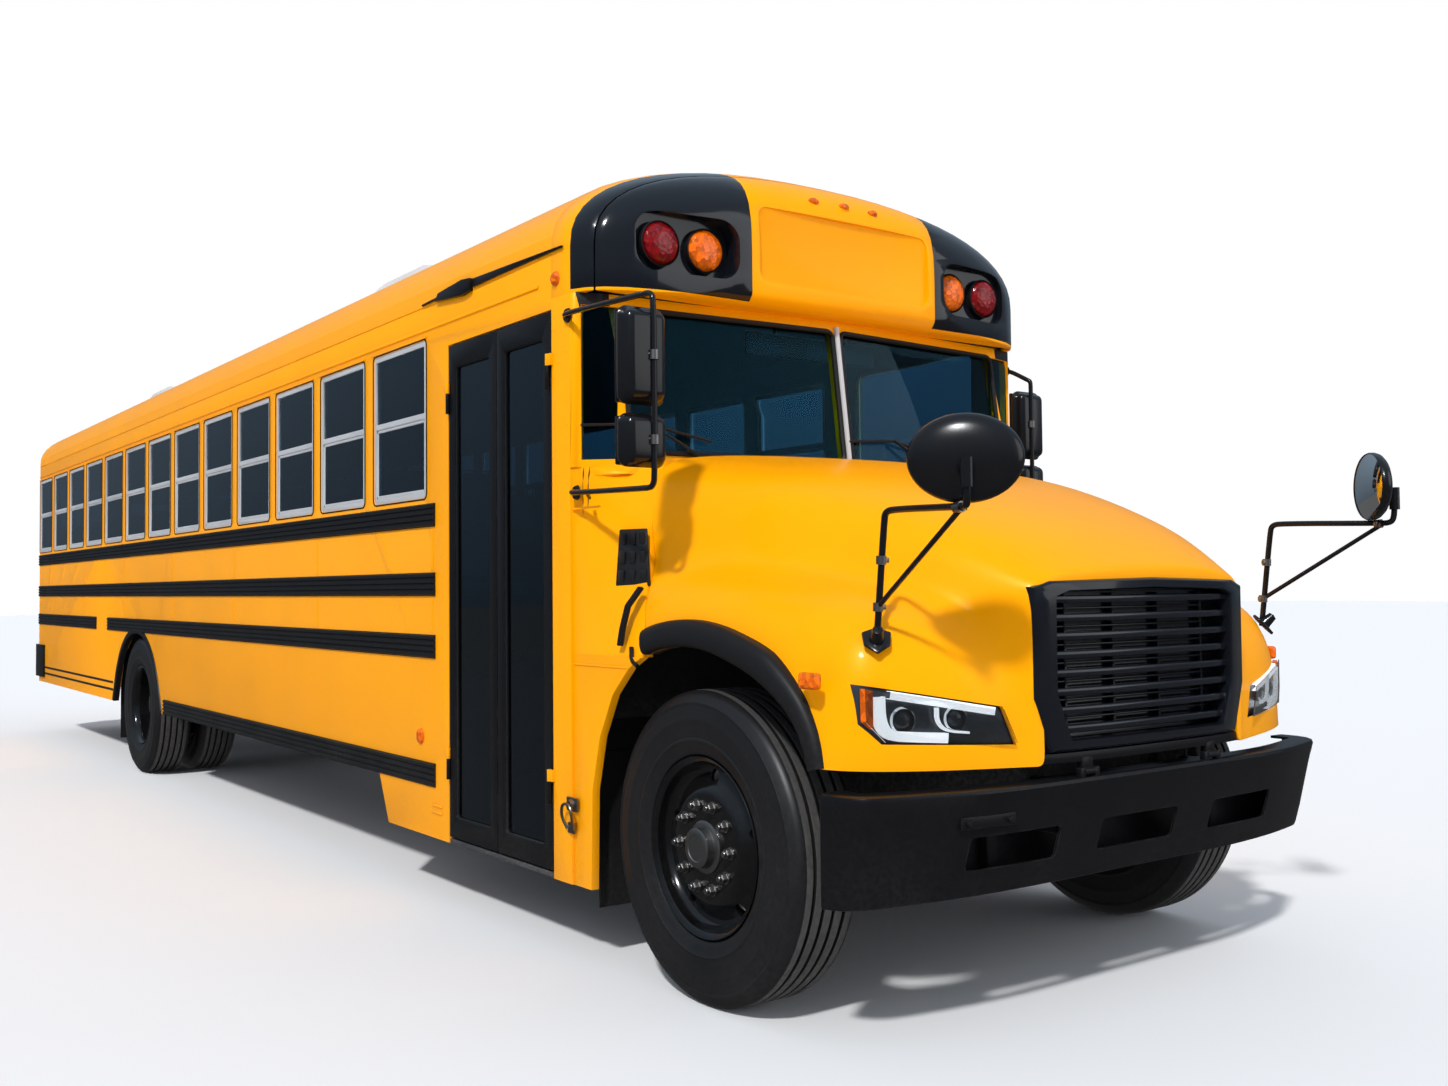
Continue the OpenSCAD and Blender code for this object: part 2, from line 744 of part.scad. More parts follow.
module floor() {
    color(dark_steel) difference() {
        union() {
            block([rear_x + rear_wall_t, -hw + wall_t, floor_low_z], [firewall_x - 40, hw - wall_t, floor_z]);
            // joists across the frame rails
            for (i = [0:window_count]) {
                x = first_window_x - i * window_pitch + 20;
                if (x > rear_x + rear_wall_t + 80)
                    block([x - 50, -hw + wall_t, rail_top_z], [x, hw - wall_t, floor_low_z + 1]);
            }
            block([-760, -hw + wall_t, rail_top_z], [-700, hw - wall_t, floor_low_z + 1]);
            both_sides() block([wheel_well[0] - well_t, well_y - well_t, floor_low_z],
                               [wheel_well[1] + well_t, hw - wall_t, well_top_z + well_t]);
        }
        both_sides() block([wheel_well[0], well_y, 0], [wheel_well[1], hw, well_top_z]);
        // a joist leaves room for the flap's hanger
        both_sides() block([wheel_well[0] - flap_hanger_t - seat_gap, flap_y - seat_gap, 0],
                           [wheel_well[0], hw, floor_low_z]);
        block([door_rear_x + 20, -hw, 0], [door_front_x - 20, -step_y, big]);
        block([-790, -hw, 0], [-680, -step_y, floor_low_z]);
    }
}

// Three steps up from the entrance door
step_run = (hw - wall_t - 10 - step_y) / 3;
first_step_z = 340;
step_rise = (floor_z - first_step_z) / 3;
module stepwell() {
    y0 = -(hw - wall_t - 4);
    tread = 22;
    side_a = door_rear_x + 20 + seat_gap;
    side_b = door_front_x - 20 - seat_gap;
    color(black) {
        for (i = [0:2]) {
            z = first_step_z + i * step_rise;
            riser_y = y0 + (i + 1) * step_run;
            block([side_a, y0 + i * step_run - (i > 0 ? tread : 0), z - tread], [side_b, riser_y, z]);
            block([side_a, riser_y - tread, z - tread], [side_b, riser_y, z + step_rise - (i == 2 ? 0 : tread)]);
        }
        for (x = [side_a, side_b - 20]) side_plate(x, y0, 20);
        // sill under the door
        block([door_rear_x + 4, -hw + 2, step_skirt_z], [door_front_x - 4, y0 + 40, step_skirt_z + 20]);
        block([side_a, y0, step_skirt_z + 10], [side_b, y0 + 30, first_step_z]);
    }
}

module side_plate(x, y0, t) {
    plate_z = first_step_z - 22;
    front_prism(x, x + t) polygon([[y0, plate_z], [y0 + step_run, plate_z], [-step_y, plate_z + 2 * step_rise],
                                   [-step_y, floor_z], [y0, floor_z]]);
}

seat_depth = 400;
cushion_z = floor_z + 330;
cushion_t = 130;
module bench(x) {
    // cushion, back and the pedestal on the aisle side
    y0 = hw - wall_t - 12 - seat_w;
    block([x, y0, cushion_z], [x + seat_depth, y0 + seat_w, cushion_z + cushion_t]);
    side_prism(y0, y0 + seat_w) polygon([
        [x - 5, cushion_z - 10], [x + 85, cushion_z + 20], [x + 10, floor_z + seat_back_h - 30],
        [x - 25, floor_z + seat_back_h], [x - 75, floor_z + seat_back_h - 30]]);
    block([x + 30, y0 + 40, floor_z], [x + 60, y0 + 90, cushion_z + 5]);
    block([x + seat_depth - 60, y0 + 40, floor_z], [x + seat_depth - 30, y0 + 90, cushion_z + 5]);
}

first_seat_x = first_window_x - 1020;
module passenger_seats() {
    // a leg that comes over a wheel well stands on the well's top
    color("#2f3d4a") both_sides() difference() {
        for (i = [0:seat_rows - 1])
            if (first_seat_x - i * window_pitch > rear_x + 250) bench(first_seat_x - i * window_pitch);
        block([wheel_well[0] - well_t - seat_gap, well_y - well_t - seat_gap, 0],
              [wheel_well[1] + well_t + seat_gap, big, well_top_z + well_t]);
    }
}

driver_y = 600;
module driver_seat() {
    color("#26282c") {
        translate([-1900, driver_y, 0]) {
            block([0, -60, floor_z], [180, 60, floor_z + 260]);
            block([-60, -240, floor_z + 250], [400, 240, floor_z + 380]);
            side_prism(-230, 230) polygon([
                [-70, floor_z + 300], [30, floor_z + 330], [-40, floor_z + 960],
                [-80, floor_z + 1000], [-140, floor_z + 960]]);
        }
    }
}

steer_centre = [-1150, 600, 1740];
steer_tilt = -38;
steer_wheel_r = 230;
column_r = 25;
dash_left_y = hw - wall_t - 40;
module dashboard() {
    color("#202226") difference() {
        union() {
            side_prism(-330, dash_left_y) polygon([
                [firewall_x - 45, 1180], [firewall_x - 45, 1790], [-760, 1800], [-870, 1730], [-900, 1600],
                [-840, 1400], [-700, 1180]]);
            // steering column from the dashboard to the wheel's hub
            translate(steer_centre) rotate([0, steer_tilt, 0]) translate([0, 0, -520]) cylinder(r = 38, h = 490);
            block([firewall_x - 80, -330, 1180], [firewall_x - 40.3, dash_left_y, 1700]);
        }
        translate(steer_centre) rotate([0, steer_tilt, 0]) translate([0, 0, -160]) cylinder(r = column_r + pin_clearance, h = 200);
    }
}

module steering_wheel() {
    color("#15161a") translate(steer_centre) rotate([0, steer_tilt, 0]) {
        rotate_extrude($fn = 96) translate([steer_wheel_r - 15, 0]) circle(15, $fn = 24);
        for (a = [90, 210, 330]) rotate([0, 0, a])
            block([20, -14, -22], [steer_wheel_r - 14, 14, -8]);
        translate([0, 0, -28]) cylinder(r = 55, h = 34);
        translate([0, 0, -155]) cylinder(r = column_r, h = 130);
    }
}

// ---------- chassis ----------

rail_low_z = rail_top_z - rail_h;
module rail_section() {
    difference() {
        translate([rail_y - rail_flange, rail_low_z]) square([rail_flange, rail_h]);
        translate([rail_y - rail_flange - 1, rail_low_z + 10]) square([rail_flange - 9, rail_h - 20]);
    }
}

crossmember_low_z = rail_low_z + 100;
crossmember_x = [700, -700, -2600, -4600, -6600, -8300, -9900, -11300];
module chassis_frame() {
    color(black) {
        both_sides() {
            front_prism(rear_x + rear_wall_t, bumper_bracket_x) rail_section();
            // plates that close the rails where the springs hang
            for (x = [-620, 760, rear_axle_x - 700, rear_axle_x + 700])
                block([x - 35, rail_y - rail_flange, rail_low_z], [x + 35, rail_y - 5, rail_low_z + 60]);
        }
        for (x = crossmember_x) if (x > rear_x + rear_wall_t + 40)
            block([x - 40, -rail_y + 9, crossmember_low_z], [x + 40, rail_y - 9, crossmember_low_z + 100]);
    }
}

module engine() {
    color("#3a3d40") block([-430, -270, rail_low_z + 40], [660, 270, 1430]);
}

module leaf_spring(x, y, z, span, rise, w) {
    // a shallow arc of stacked leaves, thickest at the axle
    translate([x, 0, z]) side_prism(y - w / 2, y + w / 2) polygon(concat(
        [for (i = [-8:8]) [span / 2 * i / 8, rise * (i / 8) * (i / 8) + 12]],
        [for (i = [8:-1:-8]) [span / 2 * i / 8, rise * (i / 8) * (i / 8) - 40 * (1 - abs(i) / 9)]]));
}

front_spring_y = rail_y - rail_flange / 2;
rear_spring_y = rail_y + 50;
module leaf_springs() {
    color(dark_steel) both_sides() {
        leaf_spring(70, front_spring_y, 490, 1370, rail_low_z - 517, 76);
        for (x = [-615, 755]) translate([x, front_spring_y, rail_low_z - 17]) y_cylinder(17, -38, 38);
        leaf_spring(rear_axle_x, rear_spring_y, 640, 1400, 40, 76);
        for (x = [-700, 700]) translate([rear_axle_x + x, 0, 680])
            y_cylinder(24, rail_y + seat_gap, rear_spring_y + 38);
    }
}

beam_z = 400;
module front_axle() {
    color(black) translate([front_axle_x, 0, 0]) {
        difference() {
            union() {
                block([-45, -700, beam_z - 50], [45, 700, 449.7]);
                both_sides() {
                    hull() {
                        block([-45, 640, beam_z - 50], [45, 700, 449.7]);
                        block([-38, 750, axle_z - 60], [38, 770, axle_z + 50]);
                    }
                    translate([0, kingpin_y, axle_z - 60]) cylinder(r = 45, h = 110);
                }
            }
            both_sides() translate([0, kingpin_y, 0]) {
                cylinder(r = kingpin_r + pin_clearance, h = 900);
                // room for the knuckle's yoke over and under the beam's end
                for (z = [axle_z - 120, axle_z + 50]) translate([0, 0, z]) cylinder(r = 52, h = 60);
            }
        }
    }
}

spindle_r = 38;
module knuckle() {
    // yoke over and under the axle's end, kingpin and spindle
    translate([front_axle_x, 0, 0]) {
        translate([0, kingpin_y, axle_z - 110]) cylinder(r = kingpin_r, h = 220);
        for (z = [axle_z - 110, axle_z + 60]) {
            translate([0, kingpin_y, z]) cylinder(r = 45, h = 45);
            block([-45, kingpin_y, z], [45, kingpin_y + 75, z + 45]);
        }
        block([-60, kingpin_y + 52, axle_z - 110], [60, kingpin_y + 78, axle_z + 105]);
        translate([0, 0, axle_z]) y_cylinder(spindle_r, kingpin_y + 70, 1120);
        // steering arm
        block([-230, kingpin_y + 40, axle_z - 108], [-40, kingpin_y + 75, axle_z - 80]);
    }
}

module left_knuckle() {
    color(black) knuckle();
}

module right_knuckle() {
    color(black) mirror([0, 1, 0]) knuckle();
}

housing_r = 65;
module rear_axle() {
    color(black) translate([rear_axle_x, 0, axle_z]) {
        y_cylinder(housing_r, -560, 560);
        y_cylinder(spindle_r, -1085, 1085);
        intersection() {
            sphere(200, $fn = 64);
            block([-200, -150, -200], [200, 150, 200]);
        }
        both_sides() block([-60, rear_spring_y - 38, 40], [60, rear_spring_y + 38, 640 - 40 - axle_z - seat_gap]);
    }
}

module driveshaft() {
    color(dark_steel) {
        tube([rear_axle_x + 202, 0, axle_z], [-4660, 0, 590], 55);
        tube([-4540, 0, 590], [-480, 0, 640], 55);
        translate([-4600, 0, 595]) rotate([0, 90, 0]) translate([0, 0, -62]) cylinder(r = 75, h = 124);
        block([-4640, -60, 600], [-4560, 60, crossmember_low_z]);
    }
}

module fuel_tank() {
    x0 = -6200;
    color(black) {
        front_prism(x0, x0 + 1300) translate([rail_y + 40, skirt_z - 60]) rounded(50, 560, 330);
        for (x = [x0 + 200, x0 + 1060])
            block([x, rail_y + seat_gap, skirt_z + 130], [x + 60, rail_y + 60, skirt_z + 250]);
    }
}

module exhaust() {
    color("#6d6f72") {
        tube_path([[-1300, -560, 560], [-2750, -560, 560]], 50);
        translate([-2700, -560, 560]) rotate([0, -90, 0]) cylinder(r = 130, h = 1200);
        tube_path([[-3850, -560, 560], [-4300, -550, 560], [-5700, -515, 560], [-5900, -480, 560],
                   [-6050, -380, 560], [-6150, -240, 560]], 50);
        for (x = [-2900, -3700]) block([x - 20, -570, 560], [x + 20, -rail_y - seat_gap, 720]);
        block([-5500, -520, 560], [-5460, -rail_y - seat_gap, 720]);
    }
}

flap_y = 600;
flap_hanger_t = 20;
module mud_flaps() {
    color(black) both_sides() {
        block([firewall_x, 850, 200], [firewall_x + 10, 1140, 780]);
        block([firewall_x - 12, 900, 700], [firewall_x, 1100, firewall_low_z]);
        block([wheel_well[0] - 10, flap_y, 200], [wheel_well[0], hw - wall_t - 19, 700]);
        block([wheel_well[0] - flap_hanger_t, flap_y, 690], [wheel_well[0], hw - wall_t - 1, floor_low_z]);
    }
}

// ---------- wheels ----------

// Tyre profile: (radius, distance from the mid plane)
function tyre_profile() = let (w = tyre_w / 2) [
    [rim_r + 0.3, -w + 36.3], [rim_r + 17.5, -w + 36.3], [rim_r + 22, -w + 22], [rim_r + 95, -w + 3], [tyre_r - 90, -w],
    [tyre_r - 35, -w + 8], [tyre_r - 10, -w + 22], [tyre_r, -w + 45],
    [tyre_r, w - 45], [tyre_r - 10, w - 22], [tyre_r - 35, w - 8], [tyre_r - 90, w],
    [rim_r + 95, w - 3], [rim_r + 22, w - 22],
    [rim_r + 17.5, w - 36.3], [rim_r + 0.3, w - 36.3]];

module tyre(x, y) {
    translate([x, y, axle_z]) rotate([90, 0, 0]) rotate_extrude($fn = 96) polygon(tyre_profile());
}

// Rim with its disc, the disc's face standing disc_y outboard of the mid plane
flange_r = rim_r + 17;
function front_rim_profile(w, d) = [
    [62, d - 6], [170, d - 6], [205, d - 22], [262, d - 58],
    [262, -w + 30], [flange_r, -w + 18], [flange_r, -w + 34], [rim_r, -w + 36],
    [rim_r, w - 36], [flange_r, w - 34], [flange_r, w - 18], [274, w - 26],
    [274, d - 40], [212, d - 6], [175, d + 8], [62, d + 8]];
function rear_rim_profile(w, d) = [
    [62, d], [180, d], [215, d + 15], [262, -w + 30], [flange_r, -w + 18], [flange_r, -w + 34],
    [rim_r, -w + 36], [rim_r, w - 36], [flange_r, w - 34], [flange_r, w - 18], [274, w - 26],
    [274, -w + 60], [222, d + 30], [180, d + 12], [62, d + 12]];

module rim(x, y, side, profile) {
    translate([x, y, axle_z]) rotate([side * -90, 0, 0]) difference() {
        rotate_extrude($fn = 96) polygon(profile);
        // hand holes
        for (i = [0:4]) rotate([0, 0, 72 * i + 18]) translate([238, 0, -200]) cylinder(r = 22, h = 400);
    }
}

module hub(x, y0, y1, cap_y) {
    // drum, hub barrel and cap, bored for the spindle
    translate([x, 0, axle_z]) difference() {
        union() {
            y_cylinder(205, y0, y0 + 120);
            y_cylinder(100, y0 + 110, y1);
            y_cylinder(68, y1 - 1, cap_y);
        }
        y_cylinder(spindle_r + pin_clearance, y0 - 1, cap_y - 12);
    }
}

front_disc_y = 95;
rear_disc_y = -twin_pitch / 2 + seat_gap;
module front_wheel_left() {
    rim(front_axle_x, front_track_y, 1, front_rim_profile(tyre_w / 2, front_disc_y));
    hub(front_axle_x, 885, front_track_y + front_disc_y - 5, front_track_y + 145);
    studs(front_axle_x, front_track_y + front_disc_y + 7, 24);
}

module studs(x, y, h) {
    for (i = [0:stud_count - 1]) translate([x, y, axle_z]) rotate([0, 360 * i / stud_count, 0])
        translate([142.9, 0, 0]) y_cylinder(14, 0, h);
}

module front_left_tyre() { color(black) tyre(front_axle_x, front_track_y); }
module front_right_tyre() { color(black) tyre(front_axle_x, -front_track_y); }
module front_left_wheel() { color(dark_steel) front_wheel_left(); }
module front_right_wheel() { color(dark_steel) mirror([0, 1, 0]) front_wheel_left(); }

module rear_tyres() {
    tyre(rear_axle_x, rear_track_y);
    tyre(rear_axle_x, rear_track_y - twin_pitch);
}

module rear_wheels() {
    inner_y = rear_track_y - twin_pitch;
    profile = rear_rim_profile(tyre_w / 2, rear_disc_y);
    rim(rear_axle_x, rear_track_y, 1, profile);
    rim(rear_axle_x, inner_y, -1, profile);
    hub(rear_axle_x, 590, (inner_y + rear_track_y) / 2 + 20, rear_track_y + 50);
    studs(rear_axle_x, rear_track_y + rear_disc_y + 11, 24);
}

module rear_left_tyres() { color(black) rear_tyres(); }
module rear_right_tyres() { color(black) mirror([0, 1, 0]) rear_tyres(); }
module rear_left_wheels() { color(dark_steel) rear_wheels(); }
module rear_right_wheels() { color(dark_steel) mirror([0, 1, 0]) rear_wheels(); }

// ---------- hood ----------

// Cross-sections of the hood, from the centre line out and down to the fender's edge.
// Each row is one station: [x, [[y, z], ...]]
hood_rows = [
    [-440, [[0, 1925], [400, 1920], [740, 1905], [940, 1875], [1050, 1805], [1090, 1700], [1110, 1570],
            [1130, 1470], [1160, 1390], [1190, 1290], [1190, 850]]],
    [-150, [[0, 1895], [360, 1888], [640, 1865], [830, 1830], [950, 1775], [1000, 1670], [1022, 1540],
            [1060, 1462], [1125, 1405], [1190, 1300], [1190, 850]]],
    [150,  [[0, 1845], [340, 1838], [580, 1815], [740, 1780], [855, 1725], [905, 1610], [938, 1505],
            [1010, 1452], [1105, 1408], [1190, 1300], [1190, 850]]],
    [450,  [[0, 1765], [310, 1755], [510, 1730], [650, 1690], [750, 1630], [800, 1520], [838, 1440],
            [930, 1415], [1060, 1385], [1180, 1240], [1190, 850]]],
    [700,  [[0, 1670], [285, 1660], [460, 1635], [580, 1600], [665, 1545], [708, 1440], [742, 1365],
            [850, 1355], [1000, 1340], [1140, 1190], [1172, 850]]],
    [820,  [[0, 1610], [270, 1600], [430, 1578], [540, 1545], [622, 1490], [660, 1385], [692, 1305],
            [810, 1290], [960, 1268], [1080, 1130], [1105, 848]]],
    [930,  [[0, 1545], [260, 1536], [410, 1512], [510, 1475], [585, 1425], [612, 1300], [632, 1220],
            [700, 1190], [800, 1140], [872, 1000], [868, 842]]],
    [1030, [[0, 1460], [250, 1456], [400, 1442], [490, 1425], [552, 1394], [558, 1280], [560, 1180],
            [561, 1100], [561, 1020], [560, 920], [556, 835]]],
];
row_n = len(hood_rows[0][1]);
fender_side_y = hw - 29;
hood_scale_y = fender_side_y / 1190;

// Outer ring of one station, right edge to left edge, pushed in by the inset
function hood_ring(row, inset) =
    let (p = row[1], shrink_y = function(q) [max(0, q[0] * hood_scale_y - inset), q[1] - (q[1] > 860 ? inset : 0)])
    concat([for (i = [row_n - 1:-1:1]) [row[0], -shrink_y(p[i])[0], shrink_y(p[i])[1]]],
           [for (i = [0:row_n - 1]) [row[0], shrink_y(p[i])[0], shrink_y(p[i])[1]]]);

// Two triangles between stations i and i + 1, the same way round on both sides of the bus
function hood_patch(i, j, m) =
    let (a = i * m + j, b = a + m)
    j < row_n - 1 ? [[a, a + 1, b + 1], [a, b + 1, b]] : [[a, a + 1, b], [a + 1, b + 1, b]];
function turned(face, k) = [face[2] + k, face[1] + k, face[0] + k];

// Solid shell between the outer and the inner skin
module hood_shell() {
    m = 2 * row_n - 1;
    n = len(hood_rows);
    outer = [for (r = hood_rows) each hood_ring(r, 0)];
    inner = [for (r = hood_rows) each hood_ring(r, hood_t)];
    k = m * n;
    polyhedron(
        points = concat(outer, inner),
        faces = concat(
            [for (i = [0:n - 2], j = [0:m - 2]) each hood_patch(i, j, m)],
            [for (i = [0:n - 2], j = [0:m - 2]) for (face = hood_patch(i, j, m)) turned(face, k)],
            [for (j = [0:m - 2]) each [
                [j, k + j, j + 1], [j + 1, k + j, k + j + 1],
                [(n - 1) * m + j, (n - 1) * m + j + 1, k + (n - 1) * m + j],
                [(n - 1) * m + j + 1, k + (n - 1) * m + j + 1, k + (n - 1) * m + j]]],
            [for (i = [0:n - 2]) each [
                [i * m, (i + 1) * m, k + i * m], [(i + 1) * m, k + (i + 1) * m, k + i * m],
                [i * m + m - 1, k + i * m + m - 1, (i + 1) * m + m - 1],
                [(i + 1) * m + m - 1, k + i * m + m - 1, k + (i + 1) * m + m - 1]]]));
}

// The space under the hood's outer skin, filled, for parts that are shaped to lie on it
module hood_solid(grow) {
    m = 2 * row_n - 1;
    n = len(hood_rows);
    last = (n - 1) * m;
    middle = row_n - 1;
    polyhedron(
        points = [for (r = hood_rows) each hood_ring(r, -grow)],
        faces = concat(
            [for (i = [0:n - 2], j = [0:m - 2]) each hood_patch(i, j, m)],
            [for (i = [0:n - 2]) each [
                [i * m, (i + 1) * m, (i + 1) * m + m - 1],
                [i * m, (i + 1) * m + m - 1, i * m + m - 1]]],
            [for (j = [0:middle - 2]) each [
                [last + j, last + j + 1, last + m - 2 - j, last + m - 1 - j],
                [m - 1 - j, m - 2 - j, j + 1, j]]],
            [[last + middle - 1, last + middle, last + middle + 1],
             [middle + 1, middle, middle - 1]]));
}

// Front wheel opening in the fender
module front_arch() {
    polygon([[-700, 700], [-420, 900], [-300, 1080], [-195, 1160], [-63, 1190], [92, 1197], [220, 1180],
             [333, 1149], [420, 1120], [487, 1085], [545, 1045], [594, 1000], [643, 917], [660, 840],
             [660, 700]]);
}

module grille_outline(grow) {
    offset(delta = grow) polygon([
        [-grille_hw, 1385], [-grille_hw + 60, 1405], [0, 1415], [grille_hw - 60, 1405], [grille_hw, 1385],
        [grille_hw, 1040], [grille_hw - 61, 872], [-grille_hw + 61, 872], [-grille_hw, 1040]]);
}

// Front view of a headlight, left side
module headlight_outline(grow) {
    offset(delta = grow) polygon([
        [655, 1023], [1090, 1102], [1088, 985], [1035, 925], [610, 906]]);
}

hood_gap = 6;
// Side view of everything behind the hood's slanted rear edge
module behind_hood() {
    polygon(concat(
        [[-900, 0], [hood_edge[0][0] + hood_gap, 0]],
        [for (p = hood_edge) p + [hood_gap, 0]],
        [[-432, 1880], [-432, 2000], [-900, 2000]]));
}

module hood() {
    color(yellow) difference() {
        union() {
            hood_shell();
            front_prism(1004, 1030) difference() {
                polygon([for (p = hood_ring(hood_rows[7], 2)) [p[1], p[2]]]);
                grille_outline(seat_gap);
            }
            // hinge arms below the grille
            both_sides() {
                block([1016, hood_hinge_y, hood_pivot_z], [1046, hood_hinge_y + hood_hinge_w, 850]);
                translate([hood_pivot_x, 0, hood_pivot_z])
                    y_cylinder(12, hood_hinge_y, hood_hinge_y + hood_hinge_w);
            }
        }
        side_prism(-big, big) front_arch();
        side_prism(-big, big) behind_hood();
        both_sides() front_prism(600, 1100) headlight_outline(seat_gap);
    }
}

module grille() {
    color(black) {
        front_prism(950, 1048) difference() {
            grille_outline(0);
            grille_outline(-34);
        }
        front_prism(955, 962) grille_outline(-30);
        front_prism(975, 1040) intersection() {
            grille_outline(-10);
            for (i = [0:5]) translate([-grille_hw, 925 + 82 * i]) square([2 * grille_hw, 26]);
        }
    }
}

module headlights() {
    color("#30343a") both_sides() intersection() {
        front_prism(600, 1100) headlight_outline(0);
        plan_prism(0, 2000) polygon([
            [715, 1150], [800, 1135], [856, 1030], [925, 860], [1000, 640], [1012, 590],
            [930, 590], [860, 760], [780, 960], [700, 1060]]);
    }
}

flare_w = 92;
module fender_flares() {
    color(black) both_sides() difference() {
        side_prism(hw - 90, hw) difference() {
            intersection() {
                offset(delta = flare_w) front_arch();
                polygon([[-400, 1060], [-400, 1340], [1200, 1340], [1200, 845], [500, 845], [500, 1060]]);
            }
            front_arch();
            behind_hood();
        }
        hood_solid(seat_gap);
    }
}

// ---------- doors and stop arm ----------

stile_w = 62;
leaf_w = (door_w - 3 * door_gap) / 2;
door_low_z = step_skirt_z + 30;
leaf_h = door_top_z - door_gap - door_low_z;
glass_low = 85;
module leaf_outline() {
    difference() {
        square([leaf_w, leaf_h]);
        translate([stile_w, glass_low]) rounded(20, leaf_w - 2 * stile_w, leaf_h - glass_low - 95);
    }
}

module leaf_glass() {
    translate([stile_w + seat_gap, glass_low + seat_gap])
        rounded(20, leaf_w - 2 * stile_w - 2 * seat_gap, leaf_h - glass_low - 95 - 2 * seat_gap);
}

front_leaf_x = door_front_x - door_gap - leaf_w;
rear_leaf_x = door_rear_x + door_gap;
hinge_r = 9;
hinge_out = 10;
hinge_barrel_h = 90;
front_hinge_x = door_front_x - door_gap - 8;
rear_hinge_x = door_rear_x + door_gap + 8;
leaf_hinges_z = [door_low_z + 250, door_low_z + leaf_h - 300];
module entrance_door_front() {
    color(black) side_prism(-hw, -hw + door_t) translate([front_leaf_x, door_low_z]) leaf_outline();
    color(black) for (z = leaf_hinges_z) hinge_barrel(front_hinge_x, z);
}

module entrance_door_rear() {
    color(black) side_prism(-hw, -hw + door_t) translate([rear_leaf_x, door_low_z]) leaf_outline();
    color(black) for (z = leaf_hinges_z) hinge_barrel(rear_hinge_x, z);
}

module hinge_barrel(x, z) {
    translate([x, -hw - hinge_out, z]) cylinder(r = hinge_r, h = hinge_barrel_h, $fn = 24);
    block([x - 4, -hw - hinge_out, z], [x + 4, -hw + 5, z + hinge_barrel_h]);
}

module entrance_glass_front() {
    color(glass_tint, 0.4) side_prism(-hw + 14, -hw + 20) translate([front_leaf_x, door_low_z]) leaf_glass();
}

module entrance_glass_rear() {
    color(glass_tint, 0.4) side_prism(-hw + 14, -hw + 20) translate([rear_leaf_x, door_low_z]) leaf_glass();
}

emergency_gap = 7;
emergency_hinges_z = [1150, 1700, 2250];
emergency_hinge_x = rear_x - 16;
emergency_hinge_y = -emergency_door_hw + emergency_gap;
module emergency_openings(clear) {
    translate([-emergency_door_hw + 90 + clear, 1830 + clear])
        rounded(30, 2 * emergency_door_hw - 180 - 2 * clear, 520 - 2 * clear);
    translate([-emergency_door_hw + 90 + clear, 1180 + clear])
        rounded(30, 2 * emergency_door_hw - 180 - 2 * clear, 400 - 2 * clear);
}

module emergency_door() {
    color(yellow) {
        front_prism(rear_x - 4, rear_x + 46) difference() {
            translate([-emergency_door_hw + emergency_gap, emergency_door_low_z + emergency_gap])
                square([2 * (emergency_door_hw - emergency_gap),
                        emergency_door_top_z - emergency_door_low_z - 2 * emergency_gap]);
            emergency_openings(0);
        }
        for (z = emergency_hinges_z) {
            translate([emergency_hinge_x, emergency_hinge_y, z]) cylinder(r = 10, h = hinge_barrel_h, $fn = 24);
            block([emergency_hinge_x - 3, emergency_hinge_y, z], [rear_x - 3, emergency_hinge_y + 20, z + hinge_barrel_h]);
        }
        // handle
        block([rear_x - 34, emergency_door_hw - 70, 1640], [rear_x - 3, emergency_door_hw - 45, 1770]);
    }
}

module emergency_door_glass() {
    color(glass_tint, 0.4) front_prism(rear_x + 14, rear_x + 20) emergency_openings(seat_gap);
}

stop_x = -1850;
stop_z = 1560;
stop_r = 228;
stop_out = 26;
stop_barrel_r = 12;
stop_barrel_h = 120;
module stop_arm() {
    // octagonal blade folded flat against the left wall, hinged at its front edge
    color("#b3121a") translate([stop_x - stop_r - 60, hw + stop_out, stop_z]) rotate([-90, 0, 0])
        rotate([0, 0, 22.5]) cylinder(r = stop_r, h = 6, $fn = 8);
    color(black) {
        block([stop_x - 150, hw + stop_out - 6, stop_z - 50], [stop_x - 5, hw + stop_out + 0.5, stop_z + 50]);
        translate([stop_x, hw + stop_out, stop_z - stop_barrel_h / 2])
            cylinder(r = stop_barrel_r, h = stop_barrel_h, $fn = 24);
    }
}

// Ears on the left wall that hold the stop arm's hinge
module stop_arm_ears() {
    ear_h = 22;
    for (z = [stop_z - stop_barrel_h / 2 - seat_gap - ear_h, stop_z + stop_barrel_h / 2 + seat_gap]) {
        translate([stop_x, hw + stop_out, z]) cylinder(r = stop_barrel_r, h = ear_h, $fn = 24);
        block([stop_x - 10, hw - 5, z], [stop_x + 10, hw + stop_out, z + ear_h]);
    }
}

// ---------- drawing ----------

module place() {
    translate([datum_shift, 0, 0]) children();
}

place() chassis_frame();
place() floor();
place() stepwell();
place() right_side_wall();
place() left_side_wall();
place() rear_wall();
place() roof();
place() front_cap();
place() lamp_shrouds();
place() cowl();
place() window_glass();
place() side_window_frames();
place() rub_rails();
place() front_bumper();
place() rear_bumper();
place() side_mirrors();
place() red_lamps();
place() amber_lamps();
place() roof_units();
place() passenger_seats();
place() driver_seat();
place() dashboard();
place() steering_wheel();
place() engine();
place() front_axle();
place() rear_axle();
place() leaf_springs();
place() driveshaft();
place() fuel_tank();
place() exhaust();
place() mud_flaps();
place() hood();
place() grille();
place() headlights();
place() fender_flares();
place() crossview_mirrors();
place() entrance_door_front();
place() entrance_door_rear();
place() entrance_glass_front();
place() entrance_glass_rear();
place() emergency_door();
place() emergency_door_glass();
place() stop_arm();
place() left_knuckle();
place() right_knuckle();
place() front_left_tyre();
place() front_left_wheel();
place() front_right_tyre();
place() front_right_wheel();
place() rear_left_tyres();
place() rear_left_wheels();
place() rear_right_tyres();
